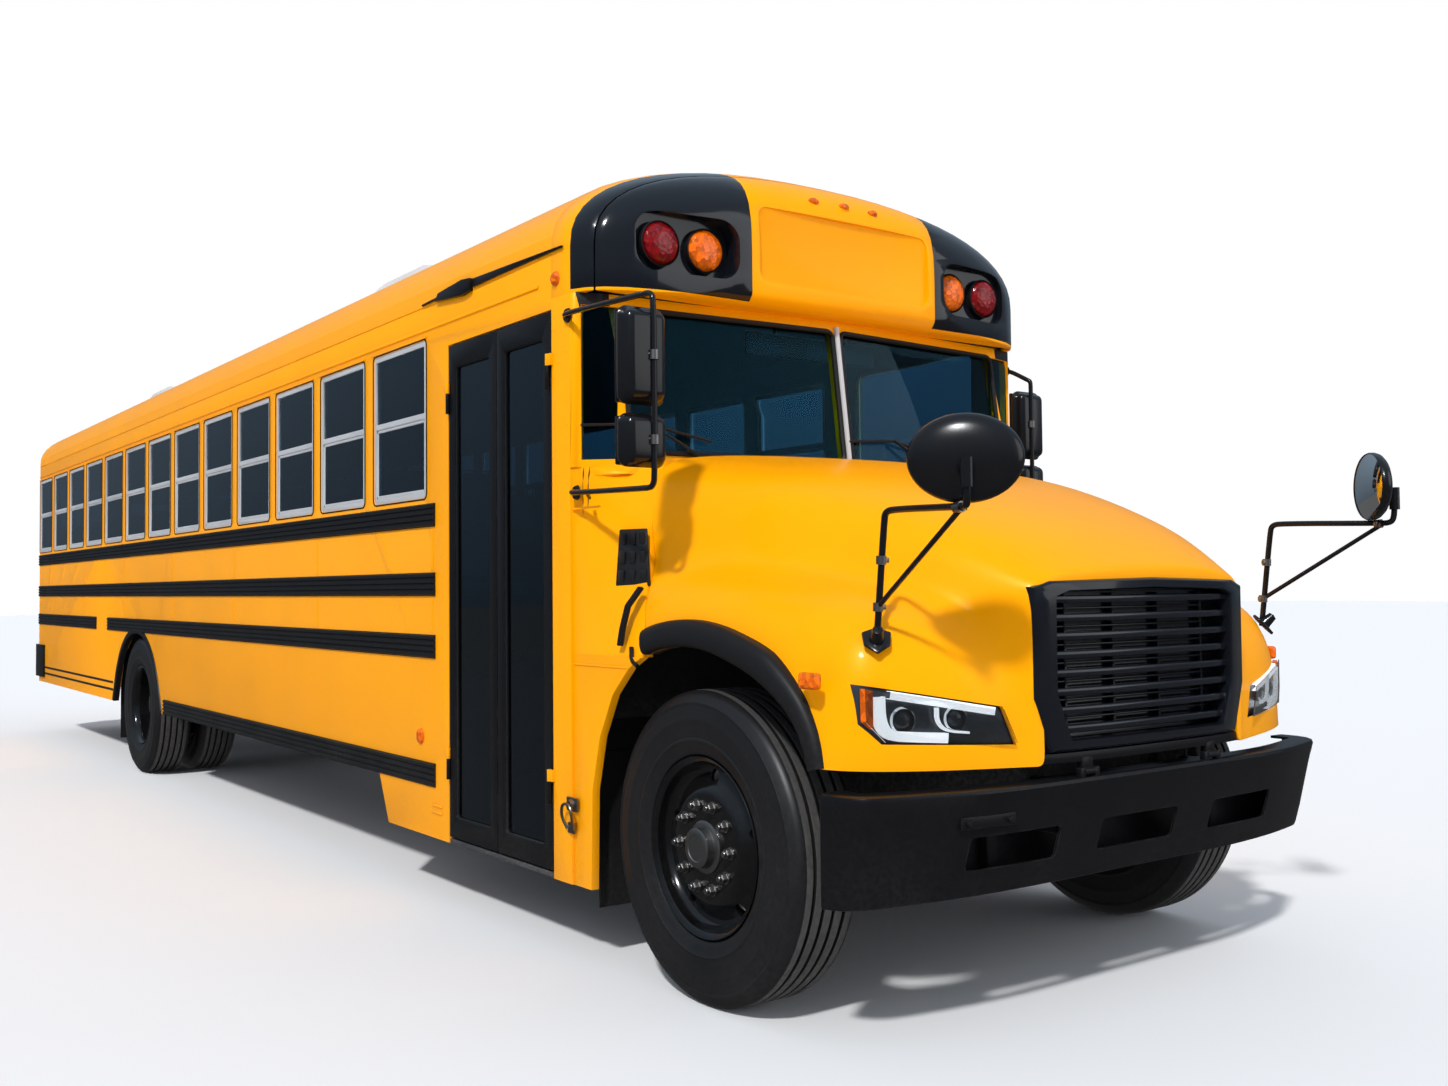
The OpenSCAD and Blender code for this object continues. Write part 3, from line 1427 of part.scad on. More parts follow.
place() rear_right_wheels();
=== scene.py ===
# %% [markdown]
# # A school bus, finished in Blender
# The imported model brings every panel, axle and hinge at its real size and place.
# This lesson gives those pieces their looks: rounded edges, enamel, rubber, glass and the small fittings.
# Everything is in metres. X runs forward, Y to the left of the driver and Z up from the ground.

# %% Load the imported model
import json
import math

import bmesh
import bpy
from mathutils import Matrix, Vector


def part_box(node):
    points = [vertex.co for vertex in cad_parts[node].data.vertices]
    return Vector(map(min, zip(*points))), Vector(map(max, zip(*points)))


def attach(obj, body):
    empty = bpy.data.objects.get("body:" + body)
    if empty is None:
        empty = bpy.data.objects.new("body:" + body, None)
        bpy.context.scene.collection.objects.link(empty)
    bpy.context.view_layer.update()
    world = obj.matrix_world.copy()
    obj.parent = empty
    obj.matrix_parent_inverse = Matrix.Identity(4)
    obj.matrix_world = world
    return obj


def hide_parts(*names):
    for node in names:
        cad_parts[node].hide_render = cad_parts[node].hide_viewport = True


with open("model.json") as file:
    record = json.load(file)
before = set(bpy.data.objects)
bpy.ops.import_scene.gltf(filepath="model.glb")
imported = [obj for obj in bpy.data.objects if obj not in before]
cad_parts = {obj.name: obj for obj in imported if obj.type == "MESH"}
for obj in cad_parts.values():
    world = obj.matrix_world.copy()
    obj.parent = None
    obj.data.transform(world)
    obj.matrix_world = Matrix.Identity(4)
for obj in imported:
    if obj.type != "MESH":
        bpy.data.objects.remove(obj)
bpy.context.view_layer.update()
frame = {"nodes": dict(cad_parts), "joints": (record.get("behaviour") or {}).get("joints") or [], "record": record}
nodes = frame["nodes"]

# %% [markdown]
# ## Where things are
# A coachbuilder sets a body out from one station line, here 80 mm behind the front axle.
# The axle's place comes from the wheel's joint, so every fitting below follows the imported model.

# %% Station line and body width
joint_place = {joint["name"]: Vector(joint["pos_m"]) for joint in frame["joints"]}
STATION_X = joint_place["front_left_spin"].x - 0.08
AXLE_Z = joint_place["front_left_spin"].z
HALF_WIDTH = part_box("roof")[1].y
REAR_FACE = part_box("roof")[0].x - 0.060


def at(x, y, z):
    """A point set out from the station line."""
    return Vector((STATION_X + x, y, z))


print("station line at x =", round(STATION_X, 3))

# %% [markdown]
# ## Camera
# The bus is seen from its right front corner, at about the height of a standing person's chest.
# A 34 mm lens on a full-frame sensor gives the strong perspective of the long side.

# %% Camera
CAMERA_PLACE = at(3.790, -3.7766, 1.3927)
CAMERA_YAW = math.radians(143.632)
CAMERA_PITCH = math.radians(1.887)
CAMERA_ROLL = math.radians(-0.537)
forward = Vector((math.cos(CAMERA_YAW) * math.cos(CAMERA_PITCH),
                  math.sin(CAMERA_YAW) * math.cos(CAMERA_PITCH), math.sin(CAMERA_PITCH)))
side = forward.cross(Vector((0, 0, 1))).normalized()
above = side.cross(forward)
right = math.cos(CAMERA_ROLL) * side + math.sin(CAMERA_ROLL) * above
up = math.cos(CAMERA_ROLL) * above - math.sin(CAMERA_ROLL) * side
camera_data = bpy.data.cameras.new("camera")
camera_data.sensor_width = 36.0
camera_data.lens = 33.587
camera_data.clip_end = 400.0
camera = bpy.data.objects.new("camera", camera_data)
bpy.context.scene.collection.objects.link(camera)
turn = Matrix((right, up, -forward)).transposed().to_4x4()
camera.matrix_world = Matrix.Translation(CAMERA_PLACE) @ turn
bpy.context.scene.camera = camera
print("camera", [round(v, 2) for v in CAMERA_PLACE])

# %% [markdown]
# ## Node helpers
# Materials are built in code, so one helper makes a node, sets its values and links what is a socket.

# %% A node in one line


def add_node(tree, kind, inputs=None, **settings):
    made = tree.nodes.new(kind)
    for key, value in settings.items():
        setattr(made, key, value)
    for key, value in (inputs or {}).items():
        if isinstance(value, bpy.types.NodeSocket):
            tree.links.new(value, made.inputs[key])
        else:
            made.inputs[key].default_value = value
    return made


def math_node(tree, operation, first, second=0.0, clamp=False):
    made = add_node(tree, "ShaderNodeMath", {0: first, 1: second}, operation=operation, use_clamp=clamp)
    return made.outputs[0]


def span_node(tree, value, low, high, out_low=0.0, out_high=1.0):
    made = add_node(tree, "ShaderNodeMapRange", {"Value": value, "From Min": low, "From Max": high,
                                                 "To Min": out_low, "To Max": out_high}, clamp=True)
    return made.outputs["Result"]


def mix_colours(tree, factor, first, second):
    made = add_node(tree, "ShaderNodeMix", {"Factor": factor}, data_type="RGBA")
    for socket, value in ((made.inputs[6], first), (made.inputs[7], second)):
        if isinstance(value, bpy.types.NodeSocket):
            tree.links.new(value, socket)
        else:
            socket.default_value = value
    return made.outputs[2]


def noise_node(tree, place, scale, detail=3.0, roughness=0.5):
    made = add_node(tree, "ShaderNodeTexNoise", {"Vector": place, "Scale": scale, "Detail": detail,
                                                 "Roughness": roughness})
    return made.outputs["Fac"]


def new_group(name, inputs, outputs):
    """A shader node group with float inputs (name: value) and named outputs."""
    tree = bpy.data.node_groups.new(name, "ShaderNodeTree")
    for label, value in inputs.items():
        socket = tree.interface.new_socket(label, in_out="INPUT", socket_type="NodeSocketFloat")
        socket.default_value = value
    for label in outputs:
        tree.interface.new_socket(label, in_out="OUTPUT", socket_type="NodeSocketFloat")
    return tree, tree.nodes.new("NodeGroupInput"), tree.nodes.new("NodeGroupOutput")


# %% [markdown]
# ## Shared effects
# Three effects come back on many finishes, so each is a node group that is built once.
# Road dust gathers low on a vehicle and fades out above the axles, broken up by noise.
# Edge wear shows where a rounded edge turns: the Bevel node's normal leaves the surface's own normal there.
# Grain is the fine unevenness of paint, rubber or moulded plastic, used as a bump and to vary the gloss.

# %% Road dust group
dust_tree, group_in, group_out = new_group("road_dust", {"Amount": 0.3, "Height": 0.9}, ["Mask"])
place = dust_tree.nodes.new("ShaderNodeTexCoord").outputs["Object"]
height = add_node(dust_tree, "ShaderNodeSeparateXYZ", {0: place}).outputs["Z"]
share = math_node(dust_tree, "DIVIDE", height, group_in.outputs["Height"])
fade = span_node(dust_tree, share, 0.1, 1.0, 1.0, 0.0)
cloud = noise_node(dust_tree, place, 2.3, 6.0, 0.62)
speck = noise_node(dust_tree, place, 60.0, 2.0)
blotch = math_node(dust_tree, "MULTIPLY", span_node(dust_tree, cloud, 0.3, 0.75),
                   span_node(dust_tree, speck, 0.25, 0.7))
mask = math_node(dust_tree, "MULTIPLY", math_node(dust_tree, "MULTIPLY", fade, blotch),
                 group_in.outputs["Amount"], clamp=True)
dust_tree.links.new(mask, group_out.inputs["Mask"])
print("group", dust_tree.name)

# %% Edge wear group
wear_tree, group_in, group_out = new_group("edge_wear", {"Radius": 0.006, "Amount": 0.5}, ["Mask"])
rounded = add_node(wear_tree, "ShaderNodeBevel", {"Radius": group_in.outputs["Radius"]}, samples=4)
plain = wear_tree.nodes.new("ShaderNodeNewGeometry").outputs["Normal"]
facing = add_node(wear_tree, "ShaderNodeVectorMath", {0: rounded.outputs[0], 1: plain},
                  operation="DOT_PRODUCT")
edge = span_node(wear_tree, facing.outputs["Value"], 0.80, 0.985, 1.0, 0.0)
place = wear_tree.nodes.new("ShaderNodeTexCoord").outputs["Object"]
patches = span_node(wear_tree, noise_node(wear_tree, place, 18.0, 5.0, 0.65), 0.45, 0.62)
mask = math_node(wear_tree, "MULTIPLY", math_node(wear_tree, "MULTIPLY", edge, patches),
                 group_in.outputs["Amount"], clamp=True)
wear_tree.links.new(mask, group_out.inputs["Mask"])
print("group", wear_tree.name)

# %% Grain group
grain_tree, group_in, group_out = new_group("grain", {"Scale": 200.0, "Blotch Scale": 3.0},
                                            ["Height", "Blotch"])
place = grain_tree.nodes.new("ShaderNodeTexCoord").outputs["Object"]
fine = noise_node(grain_tree, place, group_in.outputs["Scale"], 2.0)
broad = noise_node(grain_tree, place, group_in.outputs["Blotch Scale"], 4.0, 0.6)
grain_tree.links.new(fine, group_out.inputs["Height"])
grain_tree.links.new(broad, group_out.inputs["Blotch"])
print("group", grain_tree.name)

# %% [markdown]
# ## Finishes
# One function makes every opaque finish: a colour that drifts a little, a gloss that is never even,
# grain as a bump, worn edges and road dust. What differs between enamel, rubber and casting is in the values.

# %% Opaque finishes
DUST_COLOUR = (0.30, 0.27, 0.23, 1.0)


def group_node(tree, group, **values):
    made = tree.nodes.new("ShaderNodeGroup")
    made.node_tree = group
    for key, value in values.items():
        made.inputs[key.replace("_", " ")].default_value = value
    return made


def finish(name, colour, roughness, metallic=0.0, coat=0.0, drift=0.08, spread=0.12, grain=200.0, shine=0.5,
           bump=0.05, wear=None, worn=(0.2, 0.2, 0.2, 1.0), wear_radius=0.006, dust=0.2, dust_height=0.9):
    material = bpy.data.materials.new(name)
    material.use_nodes = True
    tree = material.node_tree
    shader = tree.nodes["Principled BSDF"]
    grains = group_node(tree, grain_tree, Scale=grain, Blotch_Scale=1.7)
    blotch = grains.outputs["Blotch"]
    darker = tuple(value * (1 - drift) for value in colour[:3]) + (1.0,)
    base = mix_colours(tree, span_node(tree, blotch, 0.3, 0.7), darker, colour)
    gloss = span_node(tree, blotch, 0.25, 0.75, roughness * (1 - spread), roughness * (1 + spread))
    if wear:
        worn_mask = group_node(tree, wear_tree, Radius=wear_radius, Amount=wear).outputs["Mask"]
        base = mix_colours(tree, worn_mask, base, worn)
        gloss = math_node(tree, "ADD", gloss, math_node(tree, "MULTIPLY", worn_mask, 0.25), clamp=True)
    if dust:
        dusty = group_node(tree, dust_tree, Amount=dust, Height=dust_height).outputs["Mask"]
        base = mix_colours(tree, dusty, base, DUST_COLOUR)
        gloss = math_node(tree, "ADD", gloss, math_node(tree, "MULTIPLY", dusty, 0.5), clamp=True)
    tree.links.new(base, shader.inputs["Base Color"])
    tree.links.new(gloss, shader.inputs["Roughness"])
    shader.inputs["Metallic"].default_value = metallic
    shader.inputs["Coat Weight"].default_value = coat
    shader.inputs["Coat Roughness"].default_value = 0.04
    shader.inputs["Specular IOR Level"].default_value = shine
    if bump:
        rough = add_node(tree, "ShaderNodeBump", {"Strength": bump, "Distance": 0.002,
                                                  "Height": grains.outputs["Height"]})
        tree.links.new(rough.outputs["Normal"], shader.inputs["Normal"])
    return material


YELLOW = (1.0, 0.375, 0.0, 1.0)
enamel_yellow = finish("enamel_yellow", YELLOW, 0.34, coat=0.06, shine=0.18, drift=0.06, grain=26.0,
                       bump=0.03,
                       wear=0.25, worn=(0.55, 0.20, 0.02, 1.0), wear_radius=0.004, dust=0.22,
                       dust_height=0.95)
enamel_yellow.node_tree.nodes["Principled BSDF"].inputs["Specular Tint"].default_value = (1.0, 0.72, 0.25,
                                                                                          1.0)
black_gloss = finish("black_gloss", (0.006, 0.007, 0.010, 1.0), 0.14, coat=0.35, shine=0.25, grain=30.0,
                     bump=0.02, dust=0.0)
black_satin = finish("black_satin", (0.006, 0.006, 0.007, 1.0), 0.34, coat=0.04, shine=0.15, grain=320.0,
                     bump=0.10,
                     wear=0.3, worn=(0.10, 0.10, 0.10, 1.0), dust=0.07, dust_height=0.9)
chassis_paint = finish("chassis_paint", (0.016, 0.016, 0.018, 1.0), 0.55, shine=0.25, grain=120.0, bump=0.25,
                       wear=0.4, worn=(0.10, 0.07, 0.05, 1.0), dust=0.8, dust_height=1.2)
rubber_black = finish("rubber_black", (0.009, 0.009, 0.010, 1.0), 0.46, shine=0.2, grain=420.0, bump=0.15,
                      dust=0.10, dust_height=1.3)
moulded_black = finish("moulded_black", (0.012, 0.012, 0.013, 1.0), 0.36, shine=0.3, grain=700.0, bump=0.25,
                       dust=0.0)
mirror_black = finish("mirror_black", (0.006, 0.006, 0.007, 1.0), 0.22, coat=0.15, shine=0.3, grain=500.0,
                      bump=0.06,
                      dust=0.0)
wheel_enamel = finish("wheel_enamel", (0.003, 0.003, 0.0035, 1.0), 0.15, coat=0.3, shine=0.3, grain=60.0,
                      bump=0.03,
                      dust=0.05, dust_height=1.0)
aluminium = finish("aluminium", (0.68, 0.69, 0.70, 1.0), 0.36, metallic=0.35, drift=0.12, grain=500.0,
                   bump=0.05, dust=0.1, dust_height=3.0)
bare_steel = finish("bare_steel", (0.30, 0.29, 0.28, 1.0), 0.38, metallic=1.0, drift=0.3, grain=200.0,
                    bump=0.12, dust=0.3)
casting = finish("casting", (0.05, 0.05, 0.055, 1.0), 0.7, metallic=0.3, grain=90.0, bump=0.4, dust=0.5,
                 dust_height=1.5)
white_shell = finish("white_shell", (0.78, 0.79, 0.80, 1.0), 0.32, coat=0.3, grain=40.0, bump=0.03, dust=0.25,
                     dust_height=9.0)
floor_rubber = finish("floor_rubber", (0.035, 0.036, 0.040, 1.0), 0.6, grain=260.0, bump=0.3, dust=0.3,
                      dust_height=2.0)
stop_red = finish("stop_red", (0.55, 0.012, 0.015, 1.0), 0.34, coat=0.3, grain=900.0, bump=0.12, dust=0.0)
tyre_rubber = finish("tyre_rubber", (0.009, 0.009, 0.010, 1.0), 0.42, shine=0.35, drift=0.2, grain=300.0,
                     bump=0.12,
                     dust=0.06, dust_height=1.3)
tread_rubber = finish("tread_rubber", (0.055, 0.054, 0.053, 1.0), 0.85, shine=0.2, drift=0.25, grain=420.0,
                      bump=0.35,
                      dust=0.30, dust_height=1.6)
cabin_lining = finish("cabin_lining", (0.10, 0.15, 0.17, 1.0), 0.5, shine=0.2, grain=60.0, bump=0.05,
                      dust=0.0)
print("finishes", len(bpy.data.materials))

# %% [markdown]
# ## Glass and lenses
# The windows are thin tinted sheets: a dark colour, full transmission and a smooth face.
# The lamps are coloured mouldings whose flutes show as a fine bump in rings.

# %% Glass


def clear_finish(name, colour, roughness=0.0, transmission=1.0, ior=1.45, coat=0.0):
    material = bpy.data.materials.new(name)
    material.use_nodes = True
    tree = material.node_tree
    shader = tree.nodes["Principled BSDF"]
    grains = group_node(tree, grain_tree, Scale=3.0, Blotch_Scale=0.9)
    darker = tuple(value * 0.85 for value in colour[:3]) + (1.0,)
    base = mix_colours(tree, span_node(tree, grains.outputs["Blotch"], 0.35, 0.65), darker, colour)
    tree.links.new(base, shader.inputs["Base Color"])
    shader.inputs["Roughness"].default_value = roughness
    shader.inputs["Transmission Weight"].default_value = transmission
    shader.inputs["IOR"].default_value = ior
    shader.inputs["Coat Weight"].default_value = coat
    return material, tree, shader


window_tint, _, window_shader = clear_finish("window_tint", (0.12, 0.25, 0.35, 1.0), ior=1.5)
windshield_tint, _, windshield_shader = clear_finish("windshield_tint", (0.34, 0.70, 0.88, 1.0), ior=1.2)
window_shader.inputs["Specular Tint"].default_value = (0.55, 0.80, 1.0, 1.0)
windshield_shader.inputs["Specular Tint"].default_value = (0.12, 0.45, 0.62, 1.0)
lens_clear = clear_finish("lens_clear", (0.92, 0.94, 0.95, 1.0), roughness=0.02)[0]


def lens_finish(name, colour):
    material, tree, shader = clear_finish(name, colour, roughness=0.16, transmission=0.0, coat=0.25)
    place = tree.nodes.new("ShaderNodeTexCoord").outputs["Object"]
    flutes = add_node(tree, "ShaderNodeTexVoronoi", {"Vector": place, "Scale": 62.0}, feature="F1")
    cells = flutes.outputs["Color"]
    spread = add_node(tree, "ShaderNodeSeparateColor", {0: cells})
    dark = tuple(value * 0.45 for value in colour[:3]) + (1.0,)
    tree.links.new(mix_colours(tree, spread.outputs[0], dark, colour), shader.inputs["Base Color"])
    bump = add_node(tree, "ShaderNodeBump", {"Strength": 0.7, "Distance": 0.004,
                                             "Height": flutes.outputs["Distance"]})
    tree.links.new(bump.outputs["Normal"], shader.inputs["Normal"])
    shader.inputs["Specular IOR Level"].default_value = 0.35
    return material


lens_red = lens_finish("lens_red", (0.23, 0.003, 0.005, 1.0))
lens_amber = lens_finish("lens_amber", (1.0, 0.17, 0.003, 1.0))
mirror_glass = finish("mirror_glass", (0.85, 0.87, 0.88, 1.0), 0.03, metallic=1.0, drift=0.02, bump=0.0,
                      dust=0.0)
print("glass and lenses ready")

# %% [markdown]
# ## Piece helpers
# A piece is built in a bmesh and then handed over: doubles are merged, normals recalculated,
# faces shaded smooth up to an angle, and the piece rides on its body.

# %% Hand a bmesh over as a piece


def hand_over(name, bm, material, body, replaces=(), smooth=35.0, recalc=True):
    bmesh.ops.remove_doubles(bm, verts=bm.verts, dist=1e-5)
    if recalc:
        bmesh.ops.recalc_face_normals(bm, faces=bm.faces)
    mesh = bpy.data.meshes.new(name)
    bm.to_mesh(mesh)
    bm.free()
    materials = material if isinstance(material, (list, tuple)) else [material]
    for made in materials:
        mesh.materials.append(made)
    mesh.shade_smooth()
    mesh.set_sharp_from_angle(angle=math.radians(smooth))
    piece = bpy.data.objects.new(name, mesh)
    bpy.context.scene.collection.objects.link(piece)
    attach(piece, body)
    if replaces:
        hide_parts(*replaces)
    print(f"{name}: {len(mesh.polygons)} faces")
    return piece


body_of_node = {name: body for body, names in frame["record"]["behaviour"]["bodies"].items()
                for name in names}


def node_bmesh(node):
    """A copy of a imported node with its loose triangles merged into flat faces."""
    bm = bmesh.new()
    bm.from_mesh(nodes[node].data)
    bmesh.ops.remove_doubles(bm, verts=bm.verts, dist=2e-5)
    bmesh.ops.dissolve_limit(bm, angle_limit=math.radians(0.6), use_dissolve_boundaries=False,
                             verts=bm.verts, edges=bm.edges, delimit={"NORMAL"})
    return bm


def round_edges(bm, width, angle=30.0, segments=2):
    """Rounds every edge that turns by more than the angle."""
    sharp = [edge for edge in bm.edges
             if len(edge.link_faces) == 2 and edge.calc_face_angle(0.0) > math.radians(angle)]
    bmesh.ops.bevel(bm, geom=sharp, offset=width, offset_type="OFFSET", segments=segments, profile=0.5,
                    affect="EDGES", material=-1, clamp_overlap=True)


def faces_cabin(face):
    """True for a panel's inner side, which looks at the middle of the cabin."""
    spot = face.calc_center_median()
    way = Vector((min(max(spot.x, REAR_FACE + 0.5), at(-0.9, 0, 0).x), 0, 2.0)) - spot
    return abs(spot.y) < HALF_WIDTH - 0.020 and face.normal.dot(way.normalized()) > 0.35


def dress(node, name, material, width=0.003, segments=2, smooth=35.0):
    """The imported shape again, with its edges rounded and a finish on it; a second finish lines the cabin."""
    bm = node_bmesh(node)
    if width:
        round_edges(bm, width, segments=segments)
    if isinstance(material, list):
        for face in bm.faces:
            face.material_index = int(faces_cabin(face))
    return hand_over(name, bm, material, body_of_node[node], [node], smooth, recalc=False)


# %% [markdown]
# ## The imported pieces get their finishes
# Folded sheet metal never has a knife edge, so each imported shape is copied, merged and bevelled.
# A bevel of a few millimetres is what catches the light along a door, a rail or a bumper.

# %% Body panels, chassis and cabin
lined = [enamel_yellow, cabin_lining]
DRESSED = [
    ("right_side_wall", "right_wall_panel", lined, 0.004),
    ("left_side_wall", "left_wall_panel", lined, 0.004),
    ("rear_wall", "rear_wall_panel", lined, 0.004),
    ("roof", "roof_skin", lined, 0.0),
    ("emergency_door", "emergency_door_panel", lined, 0.004),
    ("rear_bumper", "rear_bumper_beam", black_satin, 0.005),
    ("side_window_frames", "window_sashes", aluminium, 0.002),
    ("roof_units", "roof_housings", white_shell, 0.02),
    ("entrance_door_front", "front_leaf_frame", black_satin, 0.003),
    ("entrance_door_rear", "rear_leaf_frame", black_satin, 0.003),
    ("stop_arm", "stop_arm_blade", stop_red, 0.001),
    ("dashboard", "dashboard_moulding", moulded_black, 0.010),
    ("steering_wheel", "steering_wheel_rim", moulded_black, 0.003),
    ("floor", "floor_pan", floor_rubber, 0.0),
    ("stepwell", "entrance_steps", floor_rubber, 0.003),
    ("chassis_frame", "chassis_rails", chassis_paint, 0.003),
    ("engine", "engine_block", casting, 0.01),
    ("front_axle", "front_axle_beam", chassis_paint, 0.004),
    ("rear_axle", "rear_axle_casing", chassis_paint, 0.004),
    ("leaf_springs", "leaf_spring_packs", chassis_paint, 0.002),
    ("driveshaft", "driveshaft_tube", chassis_paint, 0.003),
    ("fuel_tank", "fuel_tank_shell", chassis_paint, 0.006),
    ("exhaust", "exhaust_pipe", bare_steel, 0.0),
    ("mud_flaps", "mud_flap_sheets", rubber_black, 0.002),
    ("left_knuckle", "left_knuckle_casting", chassis_paint, 0.003),
    ("right_knuckle", "right_knuckle_casting", chassis_paint, 0.003),
    ("entrance_glass_front", "front_leaf_pane", window_tint, 0.0),
    ("entrance_glass_rear", "rear_leaf_pane", window_tint, 0.0),
    ("emergency_door_glass", "emergency_door_panes", window_tint, 0.0),
]
for node, name, material, width in DRESSED:
    dress(node, name, material, width)

# %% Window panes, the windshield's a lighter tint
panes = node_bmesh("window_glass")
for face in panes.faces:
    face.material_index = int(face.calc_center_median().x > at(-0.80, 0, 0).x)
hand_over("window_panes", panes, [window_tint, windshield_tint], "bus", ["window_glass"],
          recalc=False)

# %% [markdown]
# ## Shaping helpers
# Most trim is one of a few shop shapes: a folded block, a flat outline with a thickness, a bent tube,
# a turned part or a pressed sheet. Each helper starts from a bmesh operator and adds its shape to a bmesh.

# %% Blocks, outlines, tubes, turned parts and sheets


def add_box(bm, low, high, bevel=0.0, segments=2):
    """A block between two corners, with rounded edges."""
    low, high = Vector(low), Vector(high)
    spread = Matrix.Diagonal((*(high - low), 1.0))
    made = bmesh.ops.create_cube(bm, size=1.0, matrix=Matrix.Translation((low + high) / 2) @ spread)
    if bevel:
        edges = list({edge for vert in made["verts"] for edge in vert.link_edges})
        bmesh.ops.bevel(bm, geom=edges, offset=bevel, offset_type="OFFSET", segments=segments, profile=0.5,
                        affect="EDGES", material=-1)


def add_outline(bm, points, push):
    """A flat outline pushed along a vector into a closed solid."""
    face = bm.faces.new([bm.verts.new(point) for point in points])
    made = bmesh.ops.extrude_face_region(bm, geom=[face], use_keep_orig=True)
    moved = [item for item in made["geom"] if isinstance(item, bmesh.types.BMVert)]
    bmesh.ops.translate(bm, verts=moved, vec=push)


def ring_edges(ring):
    members = set(ring)
    return [edge for edge in {edge for vert in ring for edge in vert.link_edges}
            if edge.verts[0] in members and edge.verts[1] in members]


def add_tube(bm, path, radius, sides=12):
    """A round bar along a list of points, its rings carried along so that they never twist."""
    path = [Vector(point) for point in path]
    across = (path[1] - path[0]).orthogonal().normalized()
    rings = []
    for index, point in enumerate(path):
        way = (path[min(index + 1, len(path) - 1)] - path[max(index - 1, 0)]).normalized()
        across = (across - way * across.dot(way)).normalized()
        turn = Matrix((across, way.cross(across), way)).transposed().to_4x4()
        ends = index in (0, len(path) - 1)
        made = bmesh.ops.create_circle(bm, cap_ends=ends, segments=sides, radius=radius,
                                       matrix=Matrix.Translation(point) @ turn)
        rings.append(made["verts"])
    for first, second in zip(rings, rings[1:]):
        bmesh.ops.bridge_loops(bm, edges=ring_edges(first) + ring_edges(second))


def eased(points, rounds=2, closed=False):
    """Corner cutting: every corner is replaced by two points, which rounds a coarse path."""
    points = [Vector(point) for point in points]
    for _ in range(rounds):
        pairs = list(zip(points, points[1:] + points[:1])) if closed else list(zip(points, points[1:]))
        cut = [point for a, b in pairs for point in (a.lerp(b, 0.25), a.lerp(b, 0.75))]
        points = cut if closed else [points[0]] + cut + [points[-1]]
    return points


def merged(target, source):
    """Adds a finished bmesh to another one."""
    mesh = bpy.data.meshes.new("part")
    source.to_mesh(mesh)
    source.free()
    target.from_mesh(mesh)
    bpy.data.meshes.remove(mesh)


def add_turned(bm, profile, axis, place, steps=48):
    """A profile of (radius, distance along) turned about an axis through a place."""
    part = bmesh.new()
    verts = [part.verts.new((radius, 0.0, along)) for radius, along in profile]
    edges = [part.edges.new(pair) for pair in zip(verts, verts[1:])]
    bmesh.ops.spin(part, geom=verts + edges, cent=(0, 0, 0), axis=(0, 0, 1), angle=math.tau, steps=steps,
                   use_merge=True)
    aim = Vector(axis).to_track_quat("Z", "Y").to_matrix().to_4x4()
    bmesh.ops.transform(part, matrix=Matrix.Translation(place) @ aim, verts=part.verts)
    merged(bm, part)


def add_skin(bm, rows):
    """Bridges neighbouring rows of points into one sheet."""
    lines = []
    for row in rows:
        verts = [bm.verts.new(point) for point in row]
        lines.append([bm.edges.new(pair) for pair in zip(verts, verts[1:])])
    for first, second in zip(lines, lines[1:]):
        bmesh.ops.bridge_loops(bm, edges=first + second)


def mirrored(bm):
    """The same shape on the other side of the bus as well."""
    bmesh.ops.mirror(bm, geom=bm.verts[:] + bm.edges[:] + bm.faces[:], matrix=Matrix.Identity(4),
                     merge_dist=1e-5, axis="Y")
    return bm


def worked(bm, cutters=(), levels=0, thickness=0.0, inside=0, operation="DIFFERENCE"):
    """Subdivides, thickens and cuts a bmesh through modifiers on short-lived objects."""
    bmesh.ops.recalc_face_normals(bm, faces=bm.faces)
    made = []
    for source in (bm, *cutters):
        if source is not bm:
            bmesh.ops.recalc_face_normals(source, faces=source.faces)
        mesh = bpy.data.meshes.new("workpiece")
        source.to_mesh(mesh)
        source.free()
        made.append(bpy.data.objects.new("workpiece", mesh))
        bpy.context.scene.collection.objects.link(made[-1])
    body = made[0]
    if levels:
        smooth = body.modifiers.new("smooth", "SUBSURF")
        smooth.levels = smooth.render_levels = levels
    if thickness:
        wall = body.modifiers.new("wall", "SOLIDIFY")
        wall.thickness = thickness
        wall.offset = -1.0
        wall.use_even_offset = True
        wall.material_offset = inside
        for _ in range(inside + 1):
            body.data.materials.append(None)
    for tool in made[1:]:
        boolean = body.modifiers.new("cut", "BOOLEAN")
        boolean.operation = operation
        boolean.object = tool
        boolean.solver = "EXACT"
    bpy.context.view_layer.update()
    result = bmesh.new()
    result.from_mesh(body.evaluated_get(bpy.context.evaluated_depsgraph_get()).to_mesh())
    for item in made:
        mesh = item.data
        bpy.data.objects.remove(item)
        bpy.data.meshes.remove(mesh)
    return result


def prism(points, push):
    bm = bmesh.new()
    add_outline(bm, points, push)
    return bm


def side_prism(outline, y0, y1):
    """An outline of (x, z) made solid between two distances from the centre line."""
    return prism([at(x, y0, z) for x, z in outline], (0, y1 - y0, 0))


def front_prism(outline, x0, x1):
    """An outline of (y, z) made solid between two stations."""
    return prism([at(x0, y, z) for y, z in outline], (x1 - x0, 0, 0))


def rounded_outline(y0, z0, y1, z1, radius, steps=4):
    """A rectangle with round corners."""
    corners = [(y1 - radius, z0 + radius, -90), (y1 - radius, z1 - radius, 0),
               (y0 + radius, z1 - radius, 90), (y0 + radius, z0 + radius, 180)]
    return [(y + radius * math.cos(math.radians(start + 90 * i / steps)),
             z + radius * math.sin(math.radians(start + 90 * i / steps)))
            for y, z, start in corners for i in range(steps + 1)]


print("shaping helpers ready")

# %% [markdown]
# ## Cowl
# The firewall is painted like the chassis, because it faces the engine. The corners of the windshield's
# base stick out past the slanting quarter panels, so they are trimmed flush with them.

